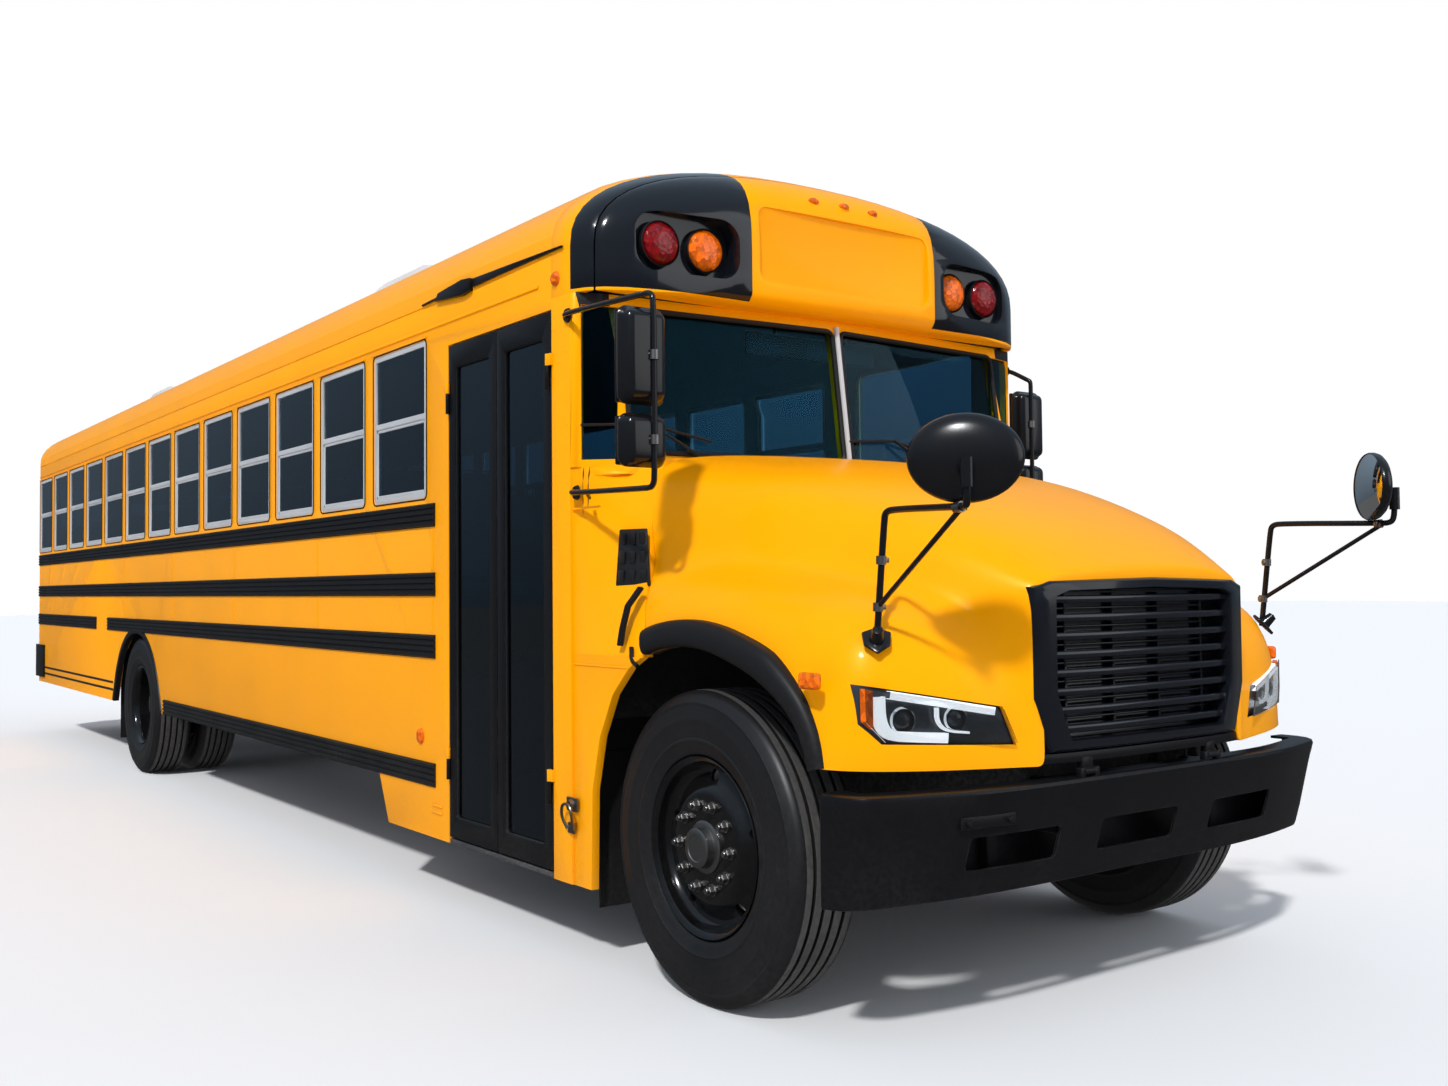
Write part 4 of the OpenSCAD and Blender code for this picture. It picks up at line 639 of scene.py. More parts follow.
# %% Cowl with trimmed corners
# (height, inset of the quarter panel's bend from the side, station of its front edge, inset of that edge)
QUARTER_PANEL = [(1.700, 0.054, -0.355, 0.1745), (1.800, 0.069, -0.380, 0.200),
                 (1.8515, 0.0785, -0.417, 0.240)]
QUARTER_REAR_X, QUARTER_BEND_X = -0.660, -0.560


def corner_waste(side):
    """The room outside one quarter panel, a hair off its skin."""
    bm = bmesh.new()
    rings = []
    for z, bend, edge_x, edge in QUARTER_PANEL:
        outline = [(QUARTER_REAR_X, 0.008), (QUARTER_BEND_X, bend), (edge_x, edge), (-0.30, -0.08),
                   (QUARTER_REAR_X, -0.08)]
        verts = [bm.verts.new(at(x, side * (HALF_WIDTH - inset + 0.0015), z)) for x, inset in outline]
        rings.append([bm.edges.new(pair) for pair in zip(verts, verts[1:] + verts[:1])])
    for first, second in zip(rings, rings[1:]):
        bmesh.ops.bridge_loops(bm, edges=first + second)
    for ring in (rings[0], rings[-1]):
        bmesh.ops.contextual_create(bm, geom=ring)
    return bm


cowl = worked(node_bmesh("cowl"), [corner_waste(-1), corner_waste(1)])
round_edges(cowl, 0.0025, angle=40.0)
for face in cowl.faces:
    behind_engine = face.calc_center_median().x < at(-0.585, 0, 0).x
    face.material_index = int(face.normal.x > 0.75 and behind_engine)
hand_over("cowl_panel", cowl, [enamel_yellow, chassis_paint], "bus", ["cowl"], recalc=False)

# %% [markdown]
# ## Hood
# The real hood is one moulding that carries the fenders and tilts forward about its lower front edge.
# It is set out like a boat: cross-sections at eight stations, bridged into a sheet and subdivided,
# so that the crown, the shoulder and the fender flow into each other. The openings are cut afterwards.

# %% Hood stations
HOOD_ROWS = [
    (-0.440, [(0, 1.925), (0.400, 1.920), (0.740, 1.905), (0.940, 1.875), (1.050, 1.805), (1.090, 1.700),
              (1.110, 1.570), (1.130, 1.470), (1.160, 1.390), (1.190, 1.290), (1.190, 0.850)]),
    (-0.150, [(0, 1.895), (0.360, 1.888), (0.640, 1.865), (0.830, 1.830), (0.950, 1.775), (1.000, 1.670),
              (1.022, 1.540), (1.060, 1.462), (1.125, 1.405), (1.190, 1.300), (1.190, 0.850)]),
    (0.150, [(0, 1.845), (0.340, 1.838), (0.580, 1.815), (0.740, 1.780), (0.855, 1.725), (0.905, 1.610),
             (0.938, 1.505), (1.010, 1.452), (1.105, 1.408), (1.190, 1.300), (1.190, 0.850)]),
    (0.450, [(0, 1.765), (0.310, 1.755), (0.510, 1.730), (0.650, 1.690), (0.750, 1.630), (0.800, 1.520),
             (0.838, 1.440), (0.930, 1.415), (1.060, 1.385), (1.180, 1.240), (1.190, 0.850)]),
    (0.700, [(0, 1.670), (0.285, 1.660), (0.460, 1.635), (0.580, 1.600), (0.665, 1.545), (0.708, 1.440),
             (0.742, 1.365), (0.850, 1.355), (1.000, 1.340), (1.140, 1.190), (1.172, 0.850)]),
    (0.820, [(0, 1.610), (0.270, 1.600), (0.430, 1.578), (0.540, 1.545), (0.622, 1.490), (0.660, 1.385),
             (0.692, 1.305), (0.810, 1.290), (0.960, 1.268), (1.080, 1.130), (1.105, 0.848)]),
    (0.930, [(0, 1.545), (0.260, 1.536), (0.410, 1.512), (0.510, 1.475), (0.585, 1.425), (0.612, 1.300),
             (0.632, 1.220), (0.700, 1.190), (0.800, 1.140), (0.872, 1.000), (0.868, 0.842)]),
    (1.030, [(0, 1.460), (0.250, 1.456), (0.400, 1.442), (0.490, 1.425), (0.552, 1.394), (0.558, 1.280),
             (0.560, 1.180), (0.561, 1.100), (0.561, 1.020), (0.560, 0.920), (0.556, 0.835)]),
]
HOOD_EDGE = [(-0.190, 1.150), (-0.232, 1.350), (-0.330, 1.600), (-0.380, 1.800), (-0.420, 1.855)]
ARCH = [(-0.300, 1.080), (-0.195, 1.160), (-0.063, 1.190), (0.092, 1.197), (0.220, 1.180), (0.333, 1.149),
        (0.420, 1.120), (0.487, 1.085), (0.545, 1.045), (0.594, 1.000), (0.643, 0.917), (0.660, 0.840)]
HEADLIGHT = [(0.655, 1.023), (1.090, 1.102), (1.088, 0.985), (1.035, 0.925), (0.610, 0.906)]


def both_halves(half):
    """A row from the right edge over the middle to the left edge."""
    return [(-y, z) for y, z in reversed(half[1:])] + list(half)


def lip_row(half, inwards):
    """The front row again, drawn in towards the grille."""
    return [(y - inwards * (1.0 if index > 3 else 0.0), z - inwards * (1.0 if index < 5 else 0.0))
            for index, (y, z) in enumerate(half)]


def nose_bow(y):
    """How far the nose falls back at a distance from the centre line."""
    return 0.036 * min(1.0, abs(y) / 0.56) ** 3


def add_bowed_bar(bm, low, high, bevel, segments=2):
    """A block across the nose that follows its bow."""
    bar = bmesh.new()
    add_box(bar, low, high, bevel, segments)
    long_edges = [edge for edge in bar.edges if edge.calc_length() > 0.4]
    bmesh.ops.subdivide_edges(bar, edges=long_edges, cuts=11, use_grid_fill=True)
    for vert in bar.verts:
        vert.co.x -= nose_bow(vert.co.y)
    merged(bm, bar)


stations = HOOD_ROWS + [(1.040, lip_row(HOOD_ROWS[-1][1], 0.010)), (1.036, lip_row(HOOD_ROWS[-1][1], 0.048))]
sheet = bmesh.new()
add_skin(sheet, [[at(x - (nose_bow(y) if x > 1 else 0.0), y, z) for y, z in both_halves(half)] for x,
                 half in stations])
arch_line = [(point.x, point.y) for point in eased([(x, z) for x, z in ARCH], 2)]
behind = [(-0.9, 0.0), (HOOD_EDGE[0][0] + 0.006, 0.0)] + [(x + 0.006, z) for x, z in HOOD_EDGE]
cutters = [side_prism([(-0.7, 0.6)] + arch_line + [(0.660, 0.6)], -2, 2),
           side_prism(behind + [(-0.434, 1.880), (-0.434, 2.0), (-0.9, 2.0)], -2, 2)]
cutters += [front_prism([(side * y, z) for y, z in HEADLIGHT], 0.6, 1.2) for side in (-1, 1)]
hood_sheet = worked(sheet, cutters, levels=2, thickness=0.012, inside=1)
hand_over("hood_skin", hood_sheet, [enamel_yellow, chassis_paint], "hood", ["hood"], 40.0,
          recalc=False)
hinges = bmesh.new()
add_bowed_bar(hinges, at(1.000, -0.55, 0.836), at(1.032, 0.55, 0.869), 0.006)
for side in (-1, 1):
    add_box(hinges, at(1.002, side * 0.325 - 0.025, 0.806), at(1.026, side * 0.325 + 0.025, 0.850), 0.004)
    add_turned(hinges, [(0, -0.025), (0.012, -0.025), (0.012, 0.025), (0, 0.025)], (0, 1, 0),
               at(1.026, side * 0.325, 0.806), 20)
hand_over("hood_hinge_bar", hinges, black_satin, "hood")

# %% [markdown]
# ## Wheel arch flares
# A flare is a rubber extrusion bent round the opening. Its rounded section is set out at every point of
# the arch and bridged, and it follows the fender in where the nose narrows.

# %% Flares
FLARE_SECTION = [(0.000, -0.075), (0.000, -0.018), (0.004, -0.007), (0.014, -0.001), (0.034, 0.0),
                 (0.062, -0.005), (0.080, -0.013), (0.090, -0.024), (0.092, -0.036), (0.092, -0.075)]


def outward(line, index):
    """The direction square to a side view line, away from the wheel."""
    before, after = line[max(index - 1, 0)], line[min(index + 1, len(line) - 1)]
    run = Vector((after[0] - before[0], after[1] - before[1])).normalized()
    return Vector((-run.y, run.x))


flares = bmesh.new()
flare_line = [point for point in arch_line if point[1] <= 1.2 and point[0] > -0.20]
flare_rows = []
for index, (x, z) in enumerate(flare_line):
    away = outward(flare_line, index)
    tuck = max(0.0, x - 0.35) ** 2 * 0.42
    taper = 1 - 0.35 * min(max((x - 0.45) / 0.20, 0.0), 1.0)
    flare_rows.append([at(x + away.x * out * taper, HALF_WIDTH - tuck + depth, z + away.y * out * taper)
                       for out, depth in FLARE_SECTION])
add_skin(flares, flare_rows)
flares = worked(flares, thickness=0.006)
hand_over("wheel_arch_flares", mirrored(flares), rubber_black, "hood", ["fender_flares"],
          50.0)

# %% [markdown]
# ## Front bumper
# The bumper is pressed from plate: its face leans forward as it rises and its ends wrap round the corners.
# One section is swept along a plan line, thickened like the plate, and its three air slots are cut out.

# %% Bumper beam
BUMPER_LOW, BUMPER_TOP = 0.450, 0.790
half = HALF_WIDTH


def bumper_line(share):
    """Plan of the bumper's face, share 0 at its lower edge and 1 at its upper edge."""
    front = 0.940 + 0.100 * share
    corner = 0.875 + 0.080 * share
    right_half = [(0.760, half - 0.012), (corner - 0.110, half - 0.014), (corner - 0.035, half - 0.055),
                  (corner, half - 0.170), (front - 0.020, half - 0.420), (front, half - 0.700)]
    line = [(x, -y) for x, y in right_half] + [(front, 0.0)] + [(x, y) for x, y in reversed(right_half)]
    return eased([(x, y) for x, y in line], 2)


def drawn_in(line, inset):
    """The plan line again, drawn in square to itself."""
    moved = []
    for index, point in enumerate(line):
        run = (line[min(index + 1, len(line) - 1)] - line[max(index - 1, 0)]).normalized()
        moved.append(point + Vector((-run.y, run.x)) * inset)
    return moved


BUMPER_SECTION = [(0.085, 1.0, 0.0), (0.030, 1.0, 0.0), (0.014, 1.0, 0.0), (0.004, 1.0, -0.004),
                  (0.0, 1.0, -0.014), (0.0, 0.75, 0.0), (0.0, 0.5, 0.0), (0.0, 0.25, 0.0),
                  (0.0, 0.0, 0.014), (0.004, 0.0, 0.004), (0.014, 0.0, 0.0), (0.040, 0.0, 0.0)]
rows = []
for inset, share, lift in BUMPER_SECTION:
    z = BUMPER_LOW + (BUMPER_TOP - BUMPER_LOW) * share + lift
    rows.append([at(point.x, point.y, z) for point in drawn_in(bumper_line(share), inset)])
beam = bmesh.new()
add_skin(beam, rows)
slots = [front_prism(rounded_outline(middle - reach, 0.538, middle + reach, 0.642, 0.016), 0.5, 1.3)
         for middle, reach in ((-0.610, 0.190), (-0.020, 0.200), (0.570, 0.190))]
beam = worked(beam, slots, thickness=0.010)
for side in (-1, 1):
    add_box(beam, at(0.860, side * 0.395 - 0.015, 0.610), at(0.960, side * 0.395 + 0.015, 0.780), 0.003)
    for y in (0.2897, 0.3603):
        add_box(beam, at(1.012, side * y - 0.010, 0.785), at(1.036, side * y + 0.010, 0.818), 0.004)
add_box(beam, at(0.846, -0.985, 0.480), at(0.852, 0.985, 0.720), 0.002, 1)
for y in (-0.64, -0.12, 0.52):
    add_box(beam, at(0.852, y, 0.500), at(0.885, y + 0.045, 0.690), 0.004, 1)
hand_over("front_bumper_beam", beam, black_satin, "bus", ["front_bumper"], 40.0)

# %% Bolts of the plate holder
bolts = bmesh.new()
PLATE_HOLDER_X, PLATE_HOLDER_Y, PLATE_HOLDER_TURN = 0.997, -0.750, -6.5
others = set(bolts.verts)
add_box(bolts, at(PLATE_HOLDER_X - 0.012, PLATE_HOLDER_Y - 0.105, 0.672),
        at(PLATE_HOLDER_X, PLATE_HOLDER_Y + 0.105, 0.708), 0.001)
for side in (-1, 1):
    add_turned(bolts, [(0, 0.012), (0.008, 0.011), (0.010, 0.008), (0.010, 0.0)], (1, 0, 0),
               at(PLATE_HOLDER_X, PLATE_HOLDER_Y + side * 0.080, 0.690), 12)
bmesh.ops.rotate(bolts, cent=at(PLATE_HOLDER_X - 0.006, PLATE_HOLDER_Y, 0.690),
                 matrix=Matrix.Rotation(math.radians(PLATE_HOLDER_TURN), 3, "Z"),
                 verts=[vert for vert in bolts.verts if vert not in others])
hand_over("bumper_plate_bolts", bolts, black_satin, "bus")

# %% [markdown]
# ## Roof cap and lamp shrouds
# Above the windshield sits a domed fibreglass cap. Its cross-sections shrink towards the brow, so it is
# lofted station by station, then split into the yellow middle and two glossy black shrouds for the lamps.

# %% Cap loft
EAVE_Z = 2.700
ROOF_TOP = 3.155
CAP_LOW = 2.520
SHROUD_Y = 0.510
SHROUD_X = -0.668
POCKET_X = -0.535
LAMP_Z = 2.722
CAP_STATIONS = [
    (-0.800, 1.219, 3.155, 2.520), (-0.720, 1.219, 3.140, 2.520), (-0.655, 1.208, 3.124, 2.520),
    (-0.600, 1.180, 3.104, 2.520), (-0.550, 1.130, 3.080, 2.520), (-0.510, 1.050, 3.052, 2.520),
    (-0.480, 0.935, 3.020, 2.522), (-0.458, 0.780, 2.985, 2.535), (-0.442, 0.600, 2.940, 2.556),
    (-0.434, 0.420, 2.890, 2.585), (-0.431, 0.200, 2.820, 2.630),
]


def curve_part(value):
    return math.copysign(abs(value) ** (2 / 2.3), value)


def body_ring(width, top, low, steps=28):
    """The body's cross-section, from the right lower edge over the roof to the left one."""
    arc = [(-width * curve_part(math.cos(math.pi * i / steps)),
            EAVE_Z + (top - EAVE_Z) * curve_part(math.sin(math.pi * i / steps))) for i in range(steps + 1)]
    return [(-width, low), (-width, (low + EAVE_Z) / 2)] + arc + [(width, (low + EAVE_Z) / 2), (width, low)]


def cap_loft():
    bm = bmesh.new()
    rings = []
    for x, width, top, low in CAP_STATIONS:
        verts = [bm.verts.new(at(x, y, z)) for y, z in body_ring(width, top, low)]
        edges = [bm.edges.new(pair) for pair in zip(verts, verts[1:] + verts[:1])]
        rings.append(edges)
    for first, second in zip(rings, rings[1:]):
        bmesh.ops.bridge_loops(bm, edges=first + second)
    for ring in (rings[0], rings[-1]):
        bmesh.ops.contextual_create(bm, geom=ring)
    return bm


def cap_hollow():
    return front_prism(body_ring(HALF_WIDTH - 0.060, ROOF_TOP - 0.060, CAP_LOW - 0.01), -0.801, -0.575)


def shroud_block(side):
    bm = bmesh.new()
    low_y, high_y = sorted((side * SHROUD_Y, side * 1.4))
    add_box(bm, at(SHROUD_X, low_y, CAP_LOW + 0.013), at(0.0, high_y, 3.4))
    return bm


recess = front_prism(rounded_outline(-SHROUD_Y + 0.040, CAP_LOW + 0.098, SHROUD_Y - 0.040, 2.925, 0.045),
                     -0.456, -0.3)
cap = worked(cap_loft(), [cap_hollow(), shroud_block(-1), shroud_block(1), recess])
round_edges(cap, 0.005, angle=38.0, segments=2)
hand_over("roof_cap_moulding", cap, enamel_yellow, "bus", ["front_cap"], 35.0, recalc=False)

# %% Shrouds with their lamp pockets
for side, label in ((-1, "right"), (1, "left")):
    pocket_low, pocket_high = sorted((side * 0.569, side * 1.018))
    pocket = front_prism(rounded_outline(pocket_low, LAMP_Z - 0.118, pocket_high, LAMP_Z + 0.118, 0.085, 6),
                         POCKET_X, 0.0)
    shroud = worked(worked(cap_loft(), [shroud_block(side)], operation="INTERSECT"), [cap_hollow(), pocket])
    round_edges(shroud, 0.012, angle=38.0, segments=3)
    hand_over(label + "_lamp_shroud", shroud, black_gloss, "bus",
              ["lamp_shrouds"] if side < 0 else [], 35.0, recalc=False)

# %% [markdown]
# ## Warning lamps
# A lamp is a rubber bezel, a domed lens with flutes pressed on its back and a dark visor ring.
# The same turned profile serves the four lamps in front and the lamps on the rear wall.

# %% Lens profiles
lens_profile = [(0.000, 0.050), (0.030, 0.0485), (0.055, 0.044), (0.072, 0.036), (0.080, 0.026),
                (0.082, 0.012), (0.082, 0.0)]
bezel_profile = [(0.082, 0.0), (0.082, 0.020), (0.085, 0.026), (0.089, 0.024), (0.089, 0.0)]
LAMPS = {"amber": (0.687, lens_amber, "amber_lamps", "amber_lens"),
         "red": (0.900, lens_red, "red_lamps", "red_lens")}
bezels = bmesh.new()
for colour, (lamp_y, material, node, slot) in LAMPS.items():
    lenses = bmesh.new()
    for side in (-1, 1):
        place = at(POCKET_X + 0.001, side * lamp_y, LAMP_Z)
        add_turned(lenses, lens_profile, (1, 0, 0), place, 40)
        add_turned(bezels, bezel_profile, (1, 0, 0), place, 40)
    for side in (-1, 1):
        place = Vector((REAR_FACE + 0.001, side * (0.905 if colour == "red" else 0.680), 2.640))
        rear_profile = [(radius, along * 0.48) for radius, along in lens_profile]
        add_turned(lenses, rear_profile, (-1, 0, 0), place, 40)
        tail = [(0.090, 1.560), (0.052, 1.200), (0.030, 2.960)] if colour == "red" else [(0.070, 1.350)]
        for radius, z in tail:
            y = side * (1.0696 if z < 2 else 0.6095)
            dome = [(share * radius, along * 0.40) for share, along in
                    ((0, 0.050), (0.5, 0.048), (0.85, 0.038), (0.97, 0.024), (0.98, 0.0))]
            add_turned(lenses, dome, (-1, 0, 0), Vector((place.x, y, z)), 32)
            rim = [(0.98 * radius, 0.0), (0.98 * radius, 0.012), (radius * 1.05, 0.010), (radius * 1.05, 0.0)]
            add_turned(bezels, rim, (-1, 0, 0), Vector((place.x, y, z)), 32)
    if colour == "amber":
        for side in (-1, 1):
            add_turned(lenses, [(0, 0.014), (0.020, 0.013), (0.032, 0.009), (0.036, 0.0)], (0, side, 0),
                       at(-2.035, side * (HALF_WIDTH + 0.001), 0.727), 28)
    hand_over(colour + "_lamp_lenses", lenses, material, "bus", [node], 40.0)
hand_over("lamp_bezels", bezels, rubber_black, "bus")

# %% Clearance lamps on the brow
brow = bmesh.new()
feet = bmesh.new()
for y, x, z in ((0.0, -0.464, 2.992), (-0.165, -0.468, 2.990), (0.165, -0.468, 2.990)):
    for bm, size, rise in ((feet, 1.0, 0.0), (brow, 0.86, 0.003)):
        lens = bmesh.new()
        add_turned(lens, [(0, 0.016), (0.016, 0.0145), (0.026, 0.009), (0.030, 0.0), (0.030, -0.014)],
                   (0, 0, 1),
                   (0, 0, rise), 28)
        bmesh.ops.scale(lens, vec=(0.62 * size, 1.05 * size, 1.0 if bm is brow else 0.35), verts=lens.verts)
        tilt = Matrix.Translation(at(x, y, z)) @ Matrix.Rotation(math.radians(52), 4, "Y")
        bmesh.ops.transform(lens, matrix=tilt, verts=lens.verts)
        merged(bm, lens)
for side in (-1, 1):
    add_turned(brow, [(0, 0.020), (0.016, 0.018), (0.026, 0.010), (0.030, 0.0)], (0, side, 0),
               at(-0.762, side * (HALF_WIDTH - 0.001), 2.590), 24)
hand_over("clearance_lamp_lenses", brow, lens_amber, "bus")
hand_over("clearance_lamp_feet", feet, enamel_yellow, "bus")

# %% [markdown]
# ## Tyres
# A tyre is a body of revolution, so its section is spun about the axle: a ribbed tread with four grooves,
# square shoulders, and a sidewall with the raised rings that guard it against kerbs.

# %% Tyre section and spin
TYRE_R = AXLE_Z
RIM_R = 0.286
GROOVE_Y = [-0.066, -0.022, 0.022, 0.066]


def tyre_section():
    """(radius, along) from the outer bead over the tread to the inner bead."""
    side = [(RIM_R + 0.001, 0.103), (RIM_R + 0.018, 0.104), (RIM_R + 0.024, 0.118), (0.330, 0.129),
            (0.352, 0.134), (0.356, 0.137), (0.362, 0.137), (0.366, 0.135), (0.395, 0.1385), (0.420, 0.139),
            (0.424, 0.140), (0.430, 0.140), (0.434, 0.139), (0.455, 0.138), (0.474, 0.135), (0.478, 0.1365),
            (0.484, 0.136), (0.488, 0.133), (0.508, 0.122), (0.519, 0.110), (0.5235, 0.098)]
    tread = []
    for groove in reversed(GROOVE_Y):
        tread += [(TYRE_R, groove + 0.0085), (TYRE_R - 0.0015, groove + 0.0070),
                  (TYRE_R - 0.013, groove + 0.0050),
                  (TYRE_R - 0.013, groove - 0.0050), (TYRE_R - 0.0015, groove - 0.0070),
                  (TYRE_R, groove - 0.0085)]
    return side + tread + [(radius, -along) for radius, along in reversed(side)]


def add_tyre(bm, x, y):
    add_turned(bm, tyre_section(), (0, 1, 0), at(x, y, AXLE_Z), 96)


FRONT_X, REAR_X = 0.080, joint_place["rear_left_spin"].x - STATION_X
FRONT_Y, REAR_Y = 1.030, 1.062
TWIN_PITCH = 0.340


def worn_tread(bm, x):
    """Marks the faces on the rolling surface, which road use turns grey."""
    for face in bm.faces:
        spot = face.calc_center_median() - at(x, 0, AXLE_Z)
        face.material_index = int(math.hypot(spot.x, spot.z) > TYRE_R - 0.0012)


for side, label in ((1, "left"), (-1, "right")):
    front = bmesh.new()
    add_tyre(front, FRONT_X, side * FRONT_Y)
    worn_tread(front, FRONT_X)
    hand_over(f"front_{label}_tyre_tread", front, [tyre_rubber, tread_rubber], f"front_{label}_wheel",
              [f"front_{label}_tyre"], 28.0)
    rear = bmesh.new()
    add_tyre(rear, REAR_X, side * REAR_Y)
    add_tyre(rear, REAR_X, side * (REAR_Y - TWIN_PITCH))
    worn_tread(rear, REAR_X)
    hand_over(f"rear_{label}_tyre_treads", rear, [tyre_rubber, tread_rubber], f"rear_{label}_wheels",
              [f"rear_{label}_tyres"], 28.0)

# %% [markdown]
# ## Wheels
# A steel disc wheel is rolled and pressed: a flanged rim, a dished disc with round hand holes and a flat
# bolting face. It is spun from its section, then the hand holes are cut with cylinders.
# The nuts, studs and hub cap are bare steel, because they are taken off often.

# %% Wheel discs
FLANGE_R = 0.303
FRONT_DISC = [(0.060, 0.103), (0.172, 0.103), (0.184, 0.101), (0.196, 0.093), (0.210, 0.078), (0.228, 0.064),
              (0.246, 0.058), (0.262, 0.062), (0.274, 0.074), (0.279, 0.090), (0.281, 0.108), (0.290, 0.117),
              (0.300, 0.122), (FLANGE_R, 0.119), (FLANGE_R, 0.108), (0.296, 0.105), (0.286, 0.103),
              (0.280, 0.060), (0.268, 0.030), (0.266, -0.060), (0.286, -0.103), (FLANGE_R, -0.106),
              (FLANGE_R, -0.120), (0.262, -0.108), (0.258, -0.050), (0.256, 0.036), (0.240, 0.046),
              (0.216, 0.056), (0.198, 0.078), (0.176, 0.092), (0.060, 0.092), (0.060, 0.103)]
REAR_DISC = [(0.060, -0.158), (0.180, -0.158), (0.196, -0.152), (0.212, -0.138), (0.238, -0.108),
             (0.258, -0.078), (0.266, -0.040), (0.272, 0.060), (0.278, 0.100), (0.290, 0.117), (0.300, 0.122),
             (FLANGE_R, 0.119), (FLANGE_R, 0.108), (0.296, 0.105), (0.286, 0.103), (0.280, 0.060),
             (0.276, -0.050), (0.286, -0.103), (FLANGE_R, -0.106), (FLANGE_R, -0.120), (0.262, -0.110),
             (0.236, -0.128), (0.212, -0.152), (0.180, -0.169), (0.060, -0.169), (0.060, -0.158)]


def add_disc(section, x, y, side, holes=5, hole_r=0.236):
    disc = bmesh.new()
    add_turned(disc, section, (0, side, 0), at(x, y, AXLE_Z), 80)
    cutters = []
    for index in range(holes):
        angle = math.radians(72 * index + 18)
        hole = bmesh.new()
        add_turned(hole, [(0, -0.2), (0.021, -0.2), (0.021, 0.2), (0, 0.2)], (0, 1, 0),
                   at(x + hole_r * math.cos(angle), y, AXLE_Z + hole_r * math.sin(angle)), 20)
        bmesh.ops.remove_doubles(hole, verts=hole.verts, dist=1e-5)
        cutters.append(hole)
    bmesh.ops.remove_doubles(disc, verts=disc.verts, dist=1e-6)
    return worked(disc, cutters)


def add_nuts(bm, x, y, side, radius=0.1429, count=10):
    """Flanged hexagon nuts on their studs."""
    for index in range(count):
        angle = math.tau * index / count
        place = at(x + radius * math.cos(angle), y, AXLE_Z + radius * math.sin(angle))
        add_turned(bm, [(0, 0.006), (0.021, 0.005), (0.021, 0.0)], (0, side, 0), place, 20)
        add_turned(bm, [(0.0175, 0.004), (0.0175, 0.022), (0.0150, 0.0255), (0.010, 0.0255)], (0, side, 0),
                   place, 6)
        add_turned(bm, [(0.0105, 0.020), (0.0105, 0.033), (0.009, 0.035), (0, 0.035)], (0, side, 0), place,
                   16)


for side, label in ((1, "left"), (-1, "right")):
    front = add_disc(FRONT_DISC, FRONT_X, side * FRONT_Y, side)
    add_turned(front, [(0.205, -0.145), (0.205, -0.03), (0.09, -0.02), (0.09, 0.10)], (0, side, 0),
               at(FRONT_X, side * FRONT_Y, AXLE_Z), 48)
    hand_over(f"front_{label}_wheel_disc", front, wheel_enamel, f"front_{label}_wheel",
              [f"front_{label}_wheel"], 30.0)
    rear = add_disc(REAR_DISC, REAR_X, side * REAR_Y, side, hole_r=0.234)
    inner = add_disc(REAR_DISC, REAR_X, side * (REAR_Y - TWIN_PITCH), -side, hole_r=0.234)
    merged(rear, inner)
    add_turned(rear, [(0.205, -0.48), (0.205, -0.36), (0.09, -0.35), (0.09, -0.16)], (0, side, 0),
               at(REAR_X, side * REAR_Y, AXLE_Z), 48)
    hand_over(f"rear_{label}_wheel_discs", rear, wheel_enamel, f"rear_{label}_wheels",
              [f"rear_{label}_wheels"], 30.0)
    hubs = bmesh.new()
    add_nuts(hubs, FRONT_X, side * (FRONT_Y + 0.103), side)
    add_turned(hubs, [(0.088, 0.100), (0.088, 0.108), (0.080, 0.112), (0.070, 0.113), (0.068, 0.120),
                      (0.066, 0.141), (0.060, 0.1445), (0.046, 0.1450), (0.043, 0.1425), (0.0, 0.1415)],
               (0, side, 0), at(FRONT_X, side * FRONT_Y, AXLE_Z), 40)
    for index in range(6):
        angle = math.tau * index / 6
        place = at(FRONT_X + 0.0545 * math.cos(angle), side * (FRONT_Y + 0.1447),
                   AXLE_Z + 0.0545 * math.sin(angle))
        add_turned(hubs, [(0.006, -0.002), (0.006, 0.0), (0, 0.0003)], (0, side, 0), place, 8)
    hand_over(f"front_{label}_hub_and_nuts", hubs, bare_steel, f"front_{label}_wheel")
    rear_hub = bmesh.new()
    add_nuts(rear_hub, REAR_X, side * (REAR_Y - 0.158), side)
    add_turned(rear_hub, [(0.102, -0.160), (0.100, -0.020), (0.092, -0.010), (0.080, 0.030), (0.076, 0.046),
                          (0.060, 0.0495), (0.0, 0.0495)], (0, side, 0), at(REAR_X, side * REAR_Y, AXLE_Z),
                          40)
    hand_over(f"rear_{label}_hub_and_nuts", rear_hub, bare_steel, f"rear_{label}_wheels")

# %% [markdown]
# ## Grille
# The grille is a deep glossy frame round a stack of bars. Six thick bars carry thinner ones between them,
# and short uprights tie them together in front of a dark backing.

# %% Grille
GRILLE = [(-0.500, 1.385), (-0.440, 1.405), (0.0, 1.415), (0.440, 1.405), (0.500, 1.385), (0.500, 1.040),
          (0.439, 0.872), (-0.439, 0.872), (-0.500, 1.040)]


def shrunk(outline, share_y, share_z, middle_z=1.143):
    return [(y * share_y, middle_z + (z - middle_z) * share_z) for y, z in outline]


def split_outline(outline, step=0.03):
    """The outline with long sides broken up, so that it can bend."""
    points = []
    for (y0, z0), (y1, z1) in zip(outline, outline[1:] + outline[:1]):
        parts = max(1, round(math.hypot(y1 - y0, z1 - z0) / step))
        points += [(y0 + (y1 - y0) * i / parts, z0 + (z1 - z0) * i / parts) for i in range(parts)]
    return points


def wrapped(outline, x):
    """An outline set on the nose and bowed like it."""
    return [at(x - nose_bow(y), y, z) for y, z in outline]


